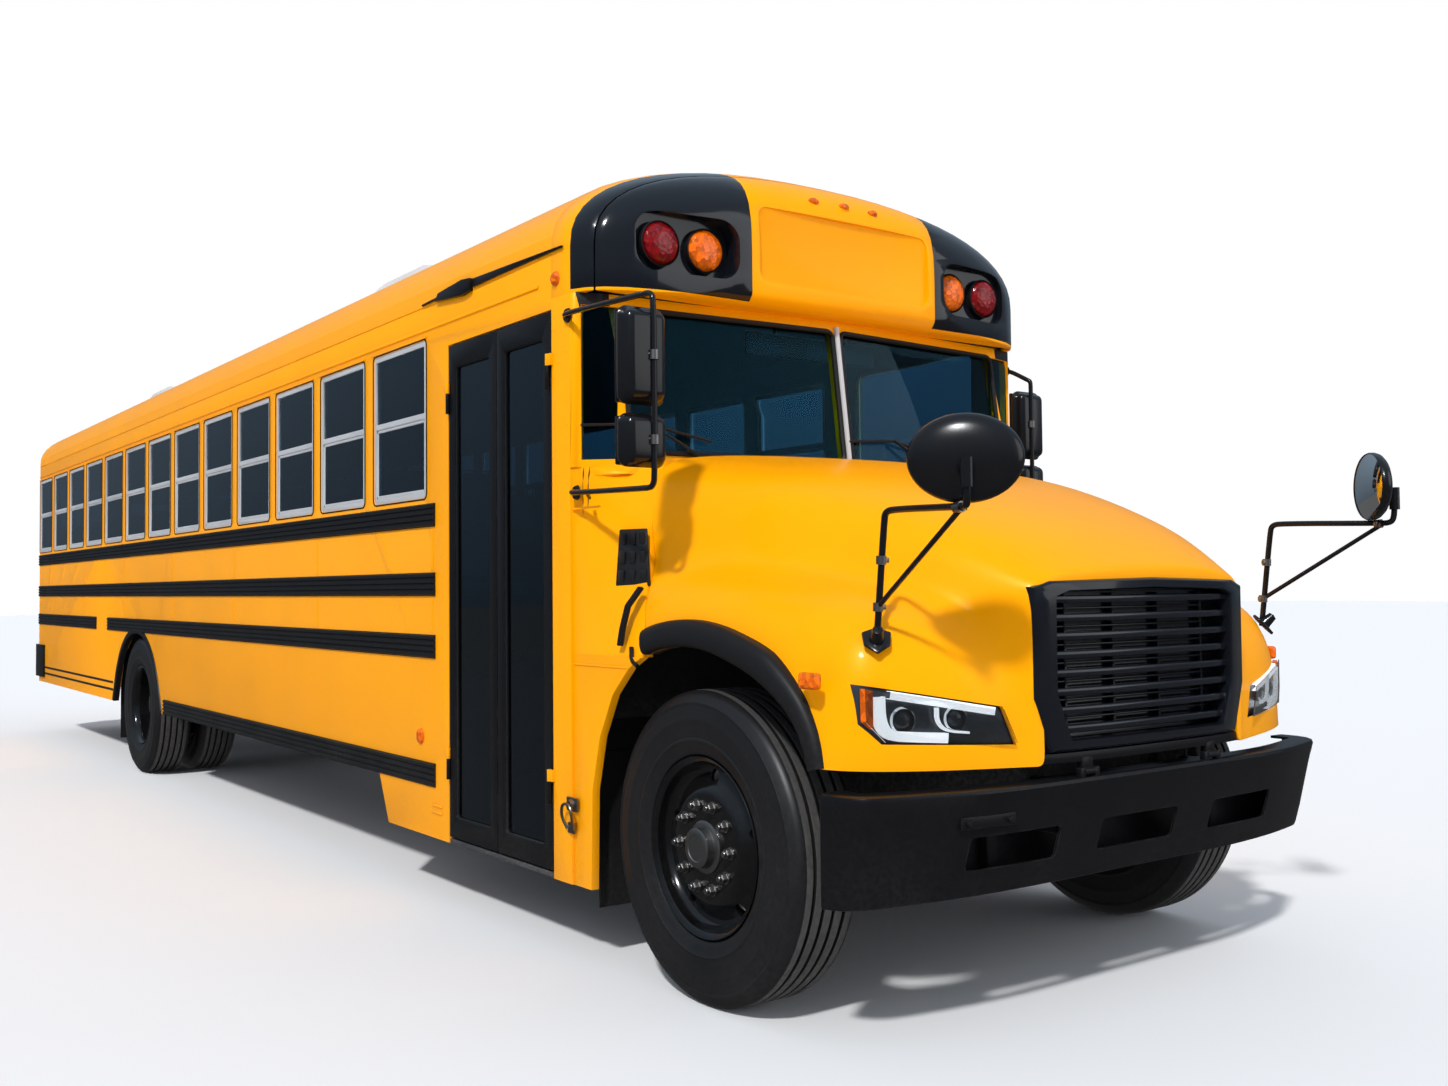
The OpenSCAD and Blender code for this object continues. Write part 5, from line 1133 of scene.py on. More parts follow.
frame_solid = bmesh.new()
fine = split_outline(GRILLE, 0.06)
outer, inner = shrunk(fine, 1.105, 1.0), shrunk(fine, 0.920, 0.865)
rings = []
for outline, x in ((inner, 0.955), (inner, 1.036), (shrunk(inner, 1.01, 1.02), 1.047),
                   (shrunk(outer, 0.975, 0.965), 1.047),
                   (shrunk(outer, 0.993, 0.990), 1.041), (outer, 1.030), (outer, 0.950)):
    verts = [frame_solid.verts.new(point) for point in wrapped(outline, x)]
    rings.append([frame_solid.edges.new(pair) for pair in zip(verts, verts[1:] + verts[:1])])
for first, second in zip(rings, rings[1:] + rings[:1]):
    bmesh.ops.bridge_loops(frame_solid, edges=first + second)
add_outline(frame_solid, [at(0.940, y, z) for y, z in shrunk(GRILLE, 0.97, 0.95)], (0.008, 0, 0))


def bar_width(z):
    """Half length of a bar that fits the frame at this height."""
    return 0.474 - max(0.0, 1.040 - z) * 0.36


for index in range(8):
    z = 0.940 + 0.0580 * index
    reach = bar_width(z)
    add_bowed_bar(frame_solid, at(0.975, -reach, z - 0.012), at(1.028, reach, z + 0.012), 0.006, 3)
    add_bowed_bar(frame_solid, at(0.956, -reach, z + 0.025), at(0.980, reach, z + 0.033), 0.003)
for y in (-0.36, -0.12, 0.12, 0.36):
    add_box(frame_solid, at(0.950, y - 0.005, 0.93), at(0.972, y + 0.005, 1.365), 0.0015, 1)
hand_over("grille_and_bars", frame_solid, black_gloss, "hood", ["grille"], 35.0)

# %% [markdown]
# ## Headlights
# Each headlight is a dark bucket behind a clear cover that follows the fender's curve.
# The parts are drawn flat in a front view and then bent back onto that curve, one depth for each:
# an amber reflector outboard, a white light bar in a hook shape, and two projector lenses.

# %% Lamp curve
LAMP_PLAN = [(0.590, 1.012), (0.640, 1.000), (0.860, 0.925), (1.030, 0.856), (1.135, 0.800), (1.150, 0.715)]


def lamp_x(y):
    """Station of the clear cover at a distance from the centre line."""
    y = min(max(abs(y), LAMP_PLAN[0][0]), LAMP_PLAN[-1][0])
    for (y0, x0), (y1, x1) in zip(LAMP_PLAN, LAMP_PLAN[1:]):
        if y <= y1:
            return x0 + (x1 - x0) * (y - y0) / (y1 - y0)
    return LAMP_PLAN[-1][1]


def add_bent(bm, outline, depth, thickness):
    """A front view outline laid on the lamp's curve, some depth behind the cover."""
    start = len(bm.verts)
    add_outline(bm, [(0, y, z) for y, z in outline], (-thickness, 0, 0))
    for vert in list(bm.verts)[start:]:
        vert.co = at(lamp_x(vert.co.y) - depth + vert.co.x, vert.co.y, vert.co.z)


def bar_strip(line, width, rounds=2):
    """A front view ribbon of even width along a line of (y, z)."""
    line = [(point.x, point.y) for point in eased(line, rounds)]
    left, right = [], []
    for index, (y, z) in enumerate(line):
        way = outward(line, index)
        left.append((y + way.x * width / 2, z + way.y * width / 2))
        right.append((y - way.x * width / 2, z - way.y * width / 2))
    return left, right


def add_ribbon(bm, line, width, depth, thickness):
    """A raised light bar along a line, bent onto the lamp's curve."""
    left, right = bar_strip(line, width)
    rows = []
    for lift in (0.0, thickness):
        for edge in (left, right):
            rows.append([at(lamp_x(y) - depth + lift - thickness, y, z) for y, z in edge])
    add_skin(bm, [rows[1], rows[3], rows[2], rows[0]])


light_white = clear_finish("light_white", (0.86, 0.90, 0.95, 1.0), roughness=0.35, transmission=0.0,
                           coat=0.3)[0]
glow_tree = light_white.node_tree
glow_shader = glow_tree.nodes["Principled BSDF"]
glow_shader.inputs["Emission Color"].default_value = (0.90, 0.95, 1.0, 1.0)
glow_shader.inputs["Emission Strength"].default_value = 0.75
lamp_chrome = finish("lamp_chrome", (0.72, 0.74, 0.76, 1.0), 0.10, metallic=1.0, drift=0.05, bump=0.02,
                     dust=0.0)
lamp_dark = finish("lamp_dark", (0.030, 0.036, 0.045, 1.0), 0.22, grain=60.0, bump=0.05, dust=0.0)

bucket = bmesh.new()
cover = bmesh.new()
bars = bmesh.new()
reflector = bmesh.new()
projectors = bmesh.new()
add_bent(bucket, split_outline(HEADLIGHT), 0.040, 0.050)
inset_light = [(0.668, 1.017), (1.082, 1.093), (1.080, 0.990), (1.030, 0.932), (0.624, 0.914)]
add_bent(cover, split_outline(inset_light, 0.02), 0.002, 0.003)
add_bent(reflector, split_outline([(1.058, 1.084), (1.081, 1.090), (1.079, 0.992), (1.058, 0.970)]), 0.010,
         0.020)
add_ribbon(bars, [(1.010, 1.070), (0.890, 1.048), (0.760, 1.024), (0.690, 1.011)], 0.024, 0.010, 0.018)
add_ribbon(bars, [(1.040, 1.066), (1.038, 0.990), (1.014, 0.950), (0.940, 0.943), (0.840, 0.937)], 0.030,
           0.010, 0.018)
add_ribbon(bars, [(0.868, 1.028), (0.868, 0.985), (0.840, 0.957), (0.770, 0.950)], 0.007, 0.014, 0.012)
for y, radius in ((0.955, 0.034), (0.795, 0.032)):
    place = at(lamp_x(y) - 0.050, y, 0.992)
    add_turned(projectors, [(radius * 1.25, 0.0), (radius * 1.22, 0.018), (radius * 1.05, 0.024),
                            (radius, 0.016), (radius, 0.0)], (1, 0.35, 0), place, 32)
    add_turned(cover, [(0, 0.026), (radius * 0.5, 0.0235), (radius * 0.85, 0.014), (radius * 0.98, 0.002)],
               (1, 0.35, 0), place, 28)
round_edges(bucket, 0.004, angle=50.0)
hand_over("headlight_buckets", mirrored(bucket), lamp_dark, "hood", ["headlights"])
hand_over("headlight_covers", mirrored(cover), lens_clear, "hood")
hand_over("headlight_bars", mirrored(worked(bars, thickness=0.002)), light_white, "hood")
hand_over("headlight_reflectors", mirrored(reflector), lens_amber, "hood")
hand_over("headlight_projectors", mirrored(projectors), lamp_chrome, "hood")

# %% [markdown]
# ## Mirrors
# Two kinds stand round the nose: flat mirrors in moulded shells on a long bent tube beside the door post,
# and oval mirrors on tube arms above the fenders, which show the ground in front of the bumper.
# Tubes are swept along eased paths, shells are bevelled blocks, and the ovals are stretched spun domes.

# %% Side mirrors
SIDE_MIRROR_Y = HALF_WIDTH + 0.086
FOOT_X, TOP_FOOT_X = -0.625, -0.672
side_mirrors = bmesh.new()
mirror_faces = bmesh.new()
post_clamps = bmesh.new()


def add_mirror_arm(bm, x):
    """The bent tube, its feet on the cowl and on the front post; x is the station of its upright."""
    lean = min(0.060, (x - FOOT_X) * 0.35)
    arm = [(FOOT_X, HALF_WIDTH - 0.006, 1.755), (FOOT_X, HALF_WIDTH + 0.020, 1.755),
           (FOOT_X + lean, HALF_WIDTH + 0.030, 1.750), (x - lean, SIDE_MIRROR_Y, 1.728),
           (x - 0.2 * lean, SIDE_MIRROR_Y, 1.730), (x, SIDE_MIRROR_Y, 1.766), (x, SIDE_MIRROR_Y, 2.345),
           (x - 0.2 * lean, SIDE_MIRROR_Y, 2.380), (x - lean, SIDE_MIRROR_Y, 2.386),
           (TOP_FOOT_X + 1.2 * lean, HALF_WIDTH + 0.030, 2.430), (TOP_FOOT_X, HALF_WIDTH + 0.018, 2.433),
           (TOP_FOOT_X, HALF_WIDTH + 0.001, 2.433)]
    add_tube(bm, [at(*point) for point in eased(arm, 2)], 0.0105)
    for foot_x, foot_y, z in ((FOOT_X, HALF_WIDTH - 0.008, 1.755), (TOP_FOOT_X, HALF_WIDTH, 2.433)):
        add_turned(bm, [(0, 0.009), (0.025, 0.008), (0.029, 0.0)], (0, 1, 0), at(foot_x, foot_y, z), 20)


def add_mirror_head(x, middle_z, height, shells, faces, clamps):
    """A moulded shell, its glass towards the driver and the clamp that holds it on the tube."""
    low = at(x - 0.082, SIDE_MIRROR_Y - 0.072, middle_z - height / 2)
    high = at(x - 0.002, SIDE_MIRROR_Y + 0.112, middle_z + height / 2)
    shell = bmesh.new()
    add_box(shell, low, high, 0.034, 5)
    pull = [vert for vert in shell.verts if vert.co.x > low.x + 0.045]
    bmesh.ops.scale(shell, vec=(1, 0.88, 0.93), space=Matrix.Translation(-(low + high) / 2), verts=pull)
    merged(shells, shell)
    add_box(shells, (low.x - 0.003, low.y + 0.008, low.z + 0.008),
            (low.x + 0.010, high.y - 0.008, high.z - 0.008), 0.005)
    add_box(faces, (low.x - 0.005, low.y + 0.016, low.z + 0.016),
            (low.x - 0.002, high.y - 0.016, high.z - 0.016), 0.001, 1)
    add_tube(shells, [at(x - 0.020, SIDE_MIRROR_Y + 0.02, middle_z), at(x, SIDE_MIRROR_Y, middle_z)], 0.014)
    add_turned(clamps, [(0.0125, -0.016), (0.017, -0.016), (0.017, 0.016), (0.0125, 0.016)], (0, 0, 1),
               at(x, SIDE_MIRROR_Y, middle_z), 20)


for side, mirror_x in ((-1, 0.050), (1, -0.585)):
    parts = [bmesh.new() for _ in range(3)]
    add_mirror_arm(parts[0], mirror_x)
    if side < 0:
        add_tube(parts[0], [at(FOOT_X + 0.09, HALF_WIDTH - 0.010, 1.730),
                            at(FOOT_X + 0.14, HALF_WIDTH + 0.035, 1.748)], 0.007)
    for middle_z, height in ((2.170, 0.330), (1.886, 0.180)):
        add_mirror_head(mirror_x, middle_z, height, *parts)
    for part, target in zip(parts, (side_mirrors, mirror_faces, post_clamps)):
        bmesh.ops.scale(part, vec=(1, side, 1), verts=part.verts)
        merged(target, part)
hand_over("side_mirror_sets", side_mirrors, mirror_black, "bus", ["side_mirrors"], 40.0)
hand_over("side_mirror_faces", mirror_faces, mirror_glass, "bus")
hand_over("side_mirror_clamps", post_clamps, bare_steel, "bus")

# %% Oval mirrors on their arms
CROSS = Vector((1.232, HALF_WIDTH - 0.143, 1.740))
CROSS_YAW = math.radians(46)
ovals = bmesh.new()
oval_faces = bmesh.new()
clamps = bmesh.new()
foot = (0.800, HALF_WIDTH - 0.208)
arm = [(foot[0], foot[1], 1.225), (0.842, HALF_WIDTH - 0.205, 1.585), (0.850, HALF_WIDTH - 0.204, 1.612),
       (0.885, HALF_WIDTH - 0.202, 1.618), (1.225, HALF_WIDTH - 0.122, 1.606),
       (1.262, HALF_WIDTH - 0.112, 1.606),
       (1.274, HALF_WIDTH - 0.104, 1.622), (1.276, HALF_WIDTH - 0.102, 1.690),
       (1.268, HALF_WIDTH - 0.108, 1.712)]
add_tube(ovals, [at(*point) for point in eased(arm, 2)], 0.0105)
add_tube(ovals, [at(0.808, foot[1], 1.330), at(1.235, HALF_WIDTH - 0.120, 1.600)], 0.008)
plate = [(0.050, 0.0), (0.030, 0.045), (-0.020, 0.040), (-0.052, 0.0), (-0.020, -0.040), (0.030, -0.045)]
plate_bm = bmesh.new()
add_outline(plate_bm, [(x, y, 0.0) for x, y in plate], (0, 0, 0.012))
round_edges(plate_bm, 0.005, angle=20.0)
add_turned(plate_bm, [(0.026, 0.006), (0.022, 0.020), (0.016, 0.055), (0.0, 0.060)], (0, 0, 1), (0, 0, 0), 24)
slope = Vector((0.58, 0.45, 0.68)).to_track_quat("Z", "X").to_matrix().to_4x4()
bmesh.ops.transform(plate_bm, matrix=Matrix.Translation(at(foot[0], foot[1], 1.226)) @ slope,
                    verts=plate_bm.verts)
merged(ovals, plate_bm)
dome = bmesh.new()
shell_profile = [(0.0, 0.029), (0.40, 0.0265), (0.70, 0.0185), (0.88, 0.008), (0.965, -0.002), (1.0, -0.014),
                 (1.0, -0.026), (0.975, -0.032), (0.95, -0.028)]
add_turned(dome, shell_profile, (0, 0, 1), (0, 0, 0), 56)
glass = bmesh.new()
add_turned(glass, [(0.0, -0.046), (0.4, -0.0435), (0.75, -0.036), (0.955, -0.029)], (0, 0, 1), (0, 0, 0), 56)
for part, target in ((dome, ovals), (glass, oval_faces)):
    for vert in part.verts:
        across, rise, bulge = vert.co.x * 0.160, vert.co.y * 0.124, vert.co.z
        vert.co = Vector((bulge, across, rise))
    turn = Matrix.Translation(at(*CROSS)) @ Matrix.Rotation(CROSS_YAW, 4, "Z")
    bmesh.ops.transform(part, matrix=turn, verts=part.verts)
    merged(target, part)
away = Vector((math.cos(CROSS_YAW), math.sin(CROSS_YAW), 0))
add_turned(ovals, [(0.026, 0.022), (0.024, 0.032), (0.016, 0.040), (0.013, 0.050), (0.0, 0.052)], away,
           at(*CROSS) - Vector((0, 0, 0.028)), 24)
add_tube(ovals, [at(1.276, HALF_WIDTH - 0.102, 1.655), at(1.276, HALF_WIDTH - 0.102, 1.735)], 0.018)
for place in ((0.826, HALF_WIDTH - 0.2065, 1.470), (0.808, HALF_WIDTH - 0.208, 1.330),
              (1.225, HALF_WIDTH - 0.122, 1.604)):
    way = (0.05, 0, 1) if place[0] < 1 else (1, 0.1, 0.07)
    add_turned(clamps, [(0.0115, -0.013), (0.016, -0.013), (0.016, 0.013), (0.0115, 0.013)], way,
               at(*place), 20)
    add_box(clamps, at(place[0] - 0.006, place[1] - 0.028, place[2] - 0.008),
            at(place[0] + 0.006, place[1] - 0.010, place[2] + 0.008), 0.002)
hand_over("oval_mirror_sets", mirrored(ovals), mirror_black, "hood", ["crossview_mirrors"],
          40.0)
hand_over("oval_mirror_faces", mirrored(oval_faces), mirror_glass, "hood")
hand_over("oval_mirror_clamps", mirrored(clamps), bare_steel, "hood")

# %% [markdown]
# ## Rub rails
# Rub rails are ribbed steel strips that stiffen the side. Their section has four ribs and three grooves,
# and is pushed along the wall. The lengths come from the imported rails' own stations.

# %% Ribbed rails
WALL_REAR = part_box("right_side_wall")[0].x - STATION_X
FIRST_WINDOW_X, WINDOW_PITCH, WINDOW_W = -1.970, 0.741, 0.622
WINDOW_Z, WINDOW_H = 1.814, 0.726
RUB_FRONT_X = -1.874


def rail_section(z, height, ribs):
    """(out from the wall, z) of a ribbed strip."""
    points = [(0.0, z), (0.006, z)]
    pitch = height / ribs
    for index in range(ribs):
        base = z + pitch * index
        points += [(0.006, base + pitch * 0.10), (0.012, base + pitch * 0.24), (0.012, base + pitch * 0.76),
                   (0.006, base + pitch * 0.90)]
    return points + [(0.006, z + height), (0.0, z + height)]


rails = bmesh.new()
for x0, x1, z, height, ribs in ((WALL_REAR, RUB_FRONT_X, 1.680, 0.106, 4),
                                (WALL_REAR, RUB_FRONT_X, 1.367, 0.106, 4),
                                (WALL_REAR, REAR_X - 1.412, 1.086, 0.106, 4),
                                (REAR_X - 0.974, RUB_FRONT_X, 1.086, 0.106, 4),
                                (REAR_X + 0.844, RUB_FRONT_X, 0.510, 0.106, 4)):
    add_outline(rails, [at(x0, HALF_WIDTH + 0.0002 + out, height_z) for out,
                        height_z in rail_section(z, height, ribs)],
                (x1 - x0, 0, 0))
for z in (0.600, 0.660):
    add_box(rails, at(WALL_REAR, HALF_WIDTH, z - 0.009), at(REAR_X - 0.78, HALF_WIDTH + 0.004, z + 0.009),
            0.0015, 1)
hand_over("rub_rail_strips", mirrored(rails), rubber_black, "bus", ["rub_rails"], 30.0)

# %% [markdown]
# ## Rear wheel opening, panel seams and rivets
# The skirt is edged with a black rubber strip round the rear wheels. The body's panels overlap at seams
# that are riveted, so each seam is a very thin strip and each rivet a low dome of few faces.

# %% Rear arch trim
REAR_ARCH = [(-0.750, 0.512), (-0.560, 0.880), (-0.215, 1.085), (0.215, 1.085), (0.560, 0.880),
             (0.750, 0.512)]
trim = bmesh.new()
trim_line = [(REAR_X + point.x, point.y) for point in eased(REAR_ARCH, 3)]
trim_rows = []
for index, (x, z) in enumerate(trim_line):
    away = outward(trim_line, index)
    trim_rows.append([at(x + away.x * out, HALF_WIDTH + depth, z + away.y * out)
                      for out, depth in ((-0.006, -0.034), (-0.008, 0.002), (-0.002, 0.008), (0.018, 0.010),
                                         (0.032, 0.008), (0.036, 0.0))])
add_skin(trim, trim_rows)
hand_over("rear_arch_trim", mirrored(trim), rubber_black, "bus")

# %% Seams and rivets on the body sides
seams = bmesh.new()
rivets = bmesh.new()


def add_rivet(bm, place, axis, radius=0.0055):
    turn = Vector(axis).to_track_quat("Z", "Y").to_matrix().to_4x4()
    bmesh.ops.create_cone(bm, cap_ends=True, segments=6, radius1=radius, radius2=radius * 0.55, depth=0.003,
                          matrix=Matrix.Translation(place) @ turn)


add_box(seams, at(WALL_REAR, HALF_WIDTH, 2.6905), at(-0.90, HALF_WIDTH + 0.0035, 2.7095), 0.001, 1)
add_box(seams, at(WALL_REAR, HALF_WIDTH, 2.578), at(-0.90, HALF_WIDTH + 0.007, 2.592), 0.003, 2)
for index in range(0, 13, 2):
    x = FIRST_WINDOW_X - index * WINDOW_PITCH + (WINDOW_PITCH - WINDOW_W) / 2
    if x > WALL_REAR + 0.1:
        add_box(seams, at(x - 0.011, HALF_WIDTH, 1.205), at(x + 0.011, HALF_WIDTH + 0.0018, 1.360), 0.0006, 1)
        add_box(seams, at(x - 0.011, HALF_WIDTH, 1.482), at(x + 0.011, HALF_WIDTH + 0.0018, 1.672), 0.0006, 1)
for index in range(13):
    left_x = FIRST_WINDOW_X - WINDOW_W - index * WINDOW_PITCH
    add_box(seams, at(left_x - 0.012, HALF_WIDTH, WINDOW_Z + WINDOW_H + 0.006),
            at(left_x + WINDOW_W + 0.012, HALF_WIDTH + 0.009, WINDOW_Z + WINDOW_H + 0.014), 0.003, 2)
steps = int((-0.95 - WALL_REAR) / 0.0926)
for step in range(steps):
    x = WALL_REAR + 0.04 + step * 0.0926
    add_rivet(rivets, at(x, HALF_WIDTH + 0.0045, 2.700), (0, 1, 0))
for step in range(int((RUB_FRONT_X - WALL_REAR) / 0.185)):
    x = WALL_REAR + 0.04 + step * 0.185
    for z in (1.806, 1.660):
        add_rivet(rivets, at(x, HALF_WIDTH + 0.001, z), (0, 1, 0), 0.0045)
hand_over("body_seams", mirrored(seams), enamel_yellow, "bus")
hand_over("body_rivets", mirrored(rivets), enamel_yellow, "bus", smooth=60.0)

# %% [markdown]
# ## Passenger windows
# A split sash has a fixed upper pane and a lower pane that drops in from it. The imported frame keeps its
# shape and gets rounded edges; the lower sash's own stiles, its rubber and its two latches are added.

# %% Sash details
sash = bmesh.new()
gaskets = bmesh.new()
SASH_MEET_Z = 2.180
for index in range(13):
    x0 = FIRST_WINDOW_X - WINDOW_W - index * WINDOW_PITCH + 0.026
    x1 = x0 + WINDOW_W - 0.052
    y0, y1 = HALF_WIDTH - 0.018, HALF_WIDTH - 0.006
    for low, high in (((x0, y0, WINDOW_Z + 0.026), (x0 + 0.014, y1, SASH_MEET_Z)),
                      ((x1 - 0.014, y0, WINDOW_Z + 0.026), (x1, y1, SASH_MEET_Z)),
                      ((x0, y0, SASH_MEET_Z - 0.016), (x1, y1, SASH_MEET_Z)),
                      ((x0, y0, WINDOW_Z + 0.026), (x1, y1, WINDOW_Z + 0.042))):
        add_box(sash, at(*low), at(*high), 0.0025, 1)
    for x in (x0 + 0.05, x1 - 0.05):
        add_box(sash, at(x - 0.016, HALF_WIDTH - 0.034, SASH_MEET_Z + 0.002),
                at(x + 0.016, HALF_WIDTH - 0.018, SASH_MEET_Z + 0.018), 0.003, 1)
    outline = rounded_outline(0, 0, WINDOW_W + 0.010, WINDOW_H + 0.010, 0.030)
    line = [at(x0 - 0.031 + px, HALF_WIDTH + 0.0005, WINDOW_Z - 0.005 + pz) for px, pz in outline]
    add_tube(gaskets, line + line[:1], 0.004, 6)
hand_over("sash_stiles", mirrored(sash), aluminium, "bus")
hand_over("window_gaskets", mirrored(gaskets), rubber_black, "bus")

# %% [markdown]
# ## Windshield surround and wipers
# The windshield panes are held by rubber gaskets with a silver divider in the middle.
# Two wipers sit on spindles in the cowl and lie on the glass.

# %% Gaskets, divider and wipers
WS_LOW_Z, WS_TOP_Z = 1.912, 2.472
CORNER_Y = HALF_WIDTH - 0.144


def ws_x(y, z):
    """Station of the windshield's outer face, which leans back and bows back towards the corners."""
    share = (z - 1.850) / (2.520 - 1.850)
    return -0.441 - 0.088 * share - 0.080 * abs(y) / CORNER_Y


gasket = bmesh.new()
divider = bmesh.new()
wipers = bmesh.new()
y0, y1 = 0.022, CORNER_Y - 0.045
outline = rounded_outline(y0, WS_LOW_Z, y1, WS_TOP_Z, 0.030)
for side in (-1, 1):
    line = [at(ws_x(y, z) + 0.001, side * y, z) for y, z in outline]
    add_tube(gasket, line + line[:1], 0.011, 8)
    spindle = (side * 0.62 - 0.10, 1.885)
    tip = (side * 0.62 - 0.34, 2.02)
    base = at(ws_x(*spindle) + 0.016, spindle[0], spindle[1])
    end = at(ws_x(*tip) + 0.020, tip[0], tip[1])
    add_tube(wipers, eased([base, base.lerp(end, 0.3) + Vector((0.014, 0, 0.004)), end], 1), 0.006, 8)
    add_turned(wipers, [(0, 0.018), (0.014, 0.016), (0.018, -0.020)], (1, 0, 0.2), base, 18)
    blade = [(side * 0.62 - 0.34 - 0.28, 2.000), (side * 0.62 - 0.34, 2.020),
             (side * 0.62 - 0.34 + 0.28, 1.965)]
    add_tube(wipers, [at(ws_x(y, z) + 0.012, y, z) for y, z in blade], 0.006, 6)
add_tube(divider, [at(ws_x(0, z) + 0.004, 0, z) for z in (WS_LOW_Z - 0.02, 2.19, WS_TOP_Z + 0.02)], 0.012, 10)
hand_over("windshield_gaskets", gasket, rubber_black, "bus")
hand_over("windshield_divider", divider, aluminium, "bus")
hand_over("wipers", wipers, moulded_black, "bus")

# %% [markdown]
# ## Small fittings on the nose and cowl
# The turn signals sit in the fender sides, a grid vents the cowl, a rubber T latch and a steel draw latch
# hold the hood and skirt shut. All of them are low bevelled blocks, because that is how they are moulded.

# %% Signals, vent grid and latches
signals = bmesh.new()
add_box(signals, at(0.660, 1.176, 1.088), at(0.742, 1.206, 1.138), 0.010, 3)
hand_over("fender_turn_signals", mirrored(signals), lens_amber, "hood")

vents = bmesh.new()
panel = [at(-0.432, 1.155, 1.400), at(-0.245, 1.128, 1.400), at(-0.318, 1.092, 1.610),
         at(-0.440, 1.132, 1.610)]
add_outline(vents, panel, (0.004, 0.012, 0))
round_edges(vents, 0.006, angle=30.0, segments=2)
for row in range(3):
    for column in range(3):
        share_x, share_z = (column + 0.5) / 3, (row + 0.5) / 3
        low_edge = panel[0].lerp(panel[1], share_x)
        top_edge = panel[3].lerp(panel[2], share_x)
        middle = low_edge.lerp(top_edge, share_z) + Vector((0.004, 0.013, 0))
        add_box(vents, middle - Vector((0.017, 0.006, 0.024)), middle + Vector((0.017, 0.003, 0.024)),
                0.005, 2)
hand_over("cowl_vent_grids", mirrored(vents), moulded_black, "bus")

latches = bmesh.new()
strap = [at(-0.225, 1.186, 1.395), at(-0.270, 1.212, 1.330), at(-0.300, 1.216, 1.250),
         at(-0.318, 1.216, 1.190)]
for shift in (-0.010, 0.0, 0.010):
    add_tube(latches, [point + Vector((shift, 0, 0)) for point in strap], 0.007, 8)
add_tube(latches, eased([at(-0.262, 1.204, 1.185), at(-0.250, 1.212, 1.140), at(-0.215, 1.210, 1.120)], 1),
         0.008, 8)
hand_over("hood_rubber_latches", mirrored(latches), rubber_black, "bus")

chrome = bmesh.new()
add_box(chrome, at(-0.690, -HALF_WIDTH - 0.008, 0.560), at(-0.610, -HALF_WIDTH + 0.002, 0.612), 0.004)
add_box(chrome, at(-0.675, -HALF_WIDTH - 0.012, 0.478), at(-0.625, -HALF_WIDTH - 0.002, 0.520), 0.004)
add_tube(chrome, eased([at(-0.672, -HALF_WIDTH - 0.014, 0.495), at(-0.690, -HALF_WIDTH - 0.030, 0.540),
                        at(-0.680, -HALF_WIDTH - 0.032, 0.590),
                        at(-0.620, -HALF_WIDTH - 0.032, 0.590), at(-0.610, -HALF_WIDTH - 0.030, 0.540),
                        at(-0.628, -HALF_WIDTH - 0.014, 0.495)], 2), 0.006, 8)
add_turned(chrome, [(0, 0.016), (0.018, 0.014), (0.021, 0.0)], (0, -1, 0),
           at(-0.650, -HALF_WIDTH - 0.008, 0.585), 20)
hand_over("skirt_draw_latch", chrome, bare_steel, "bus")

# %% Seams of the cowl and louvres beside the door
details = bmesh.new()
add_box(details, at(-0.655, -HALF_WIDTH + 0.004, 1.690), at(-0.455, -HALF_WIDTH + 0.0095, 1.698), 0.001, 1)
add_box(details, at(-0.655, -HALF_WIDTH + 0.004, 1.108), at(-0.280, -HALF_WIDTH + 0.0095, 1.115), 0.001, 1)
for z in (0.395, 0.425):
    add_box(details, at(-1.905, -HALF_WIDTH - 0.007, z), at(-1.800, -HALF_WIDTH + 0.001, z + 0.012), 0.004, 2)
hand_over("cowl_seams_and_louvres", details, enamel_yellow, "bus")
post_rivets = bmesh.new()
for step in range(22):
    z = 0.42 + step * 0.094
    for x in (-0.690, -0.775):
        add_rivet(post_rivets, at(x, -HALF_WIDTH - 0.001, z), (0, -1, 0), 0.005)
    add_rivet(post_rivets, at(-1.80, -HALF_WIDTH - 0.001, z), (0, -1, 0), 0.005)
hand_over("door_post_rivets", post_rivets, enamel_yellow, "bus", smooth=60.0)

# %% [markdown]
# ## Entrance door
# Each leaf is an aluminium frame painted black, with a rubber seal round its glass and another one
# along its free edge. A dark folded antenna lies along the eave above the leaves.

# %% Leaf seals and the antenna on the eave
leaf_w = 0.456
for label, x0 in (("front", -1.264), ("rear", -1.728)):
    seal = bmesh.new()
    pane = rounded_outline(x0 + 0.062, 0.400, x0 + leaf_w - 0.062, 2.375, 0.020)
    line = [at(x, -HALF_WIDTH + 0.010, z) for x, z in pane]
    add_tube(seal, line + line[:1], 0.007, 6)
    edge_x = x0 if label == "front" else x0 + leaf_w
    add_box(seal, at(edge_x - 0.004, -HALF_WIDTH + 0.003, 0.320),
            at(edge_x + 0.004, -HALF_WIDTH + 0.034, 2.465), 0.003)
    hand_over(f"{label}_leaf_seals", seal, rubber_black, f"entrance_{label}_leaf")
over_door = bmesh.new()
eave = HALF_WIDTH + 0.0005
add_outline(over_door, [at(-1.840, eave, 2.690), at(-1.800, eave, 2.722), at(-1.560, eave, 2.738),
                        at(-1.480, eave, 2.730),
                        at(-1.480, eave, 2.676), at(-1.560, eave, 2.668)], (0, 0.020, 0))
add_outline(over_door, [at(-1.470, eave, 2.688), at(-1.470, eave, 2.726), at(-1.100, eave, 2.718),
                        at(-0.700, eave, 2.708),
                        at(-0.700, eave, 2.700)], (0, 0.012, 0))
round_edges(over_door, 0.005, angle=30.0)
add_tube(over_door, [at(-1.99, eave + 0.006, 2.700), at(-1.80, eave + 0.010, 2.704)], 0.006, 8)
bmesh.ops.scale(over_door, vec=(1, -1, 1), verts=over_door.verts)
hand_over("eave_antenna", over_door, black_satin, "bus")

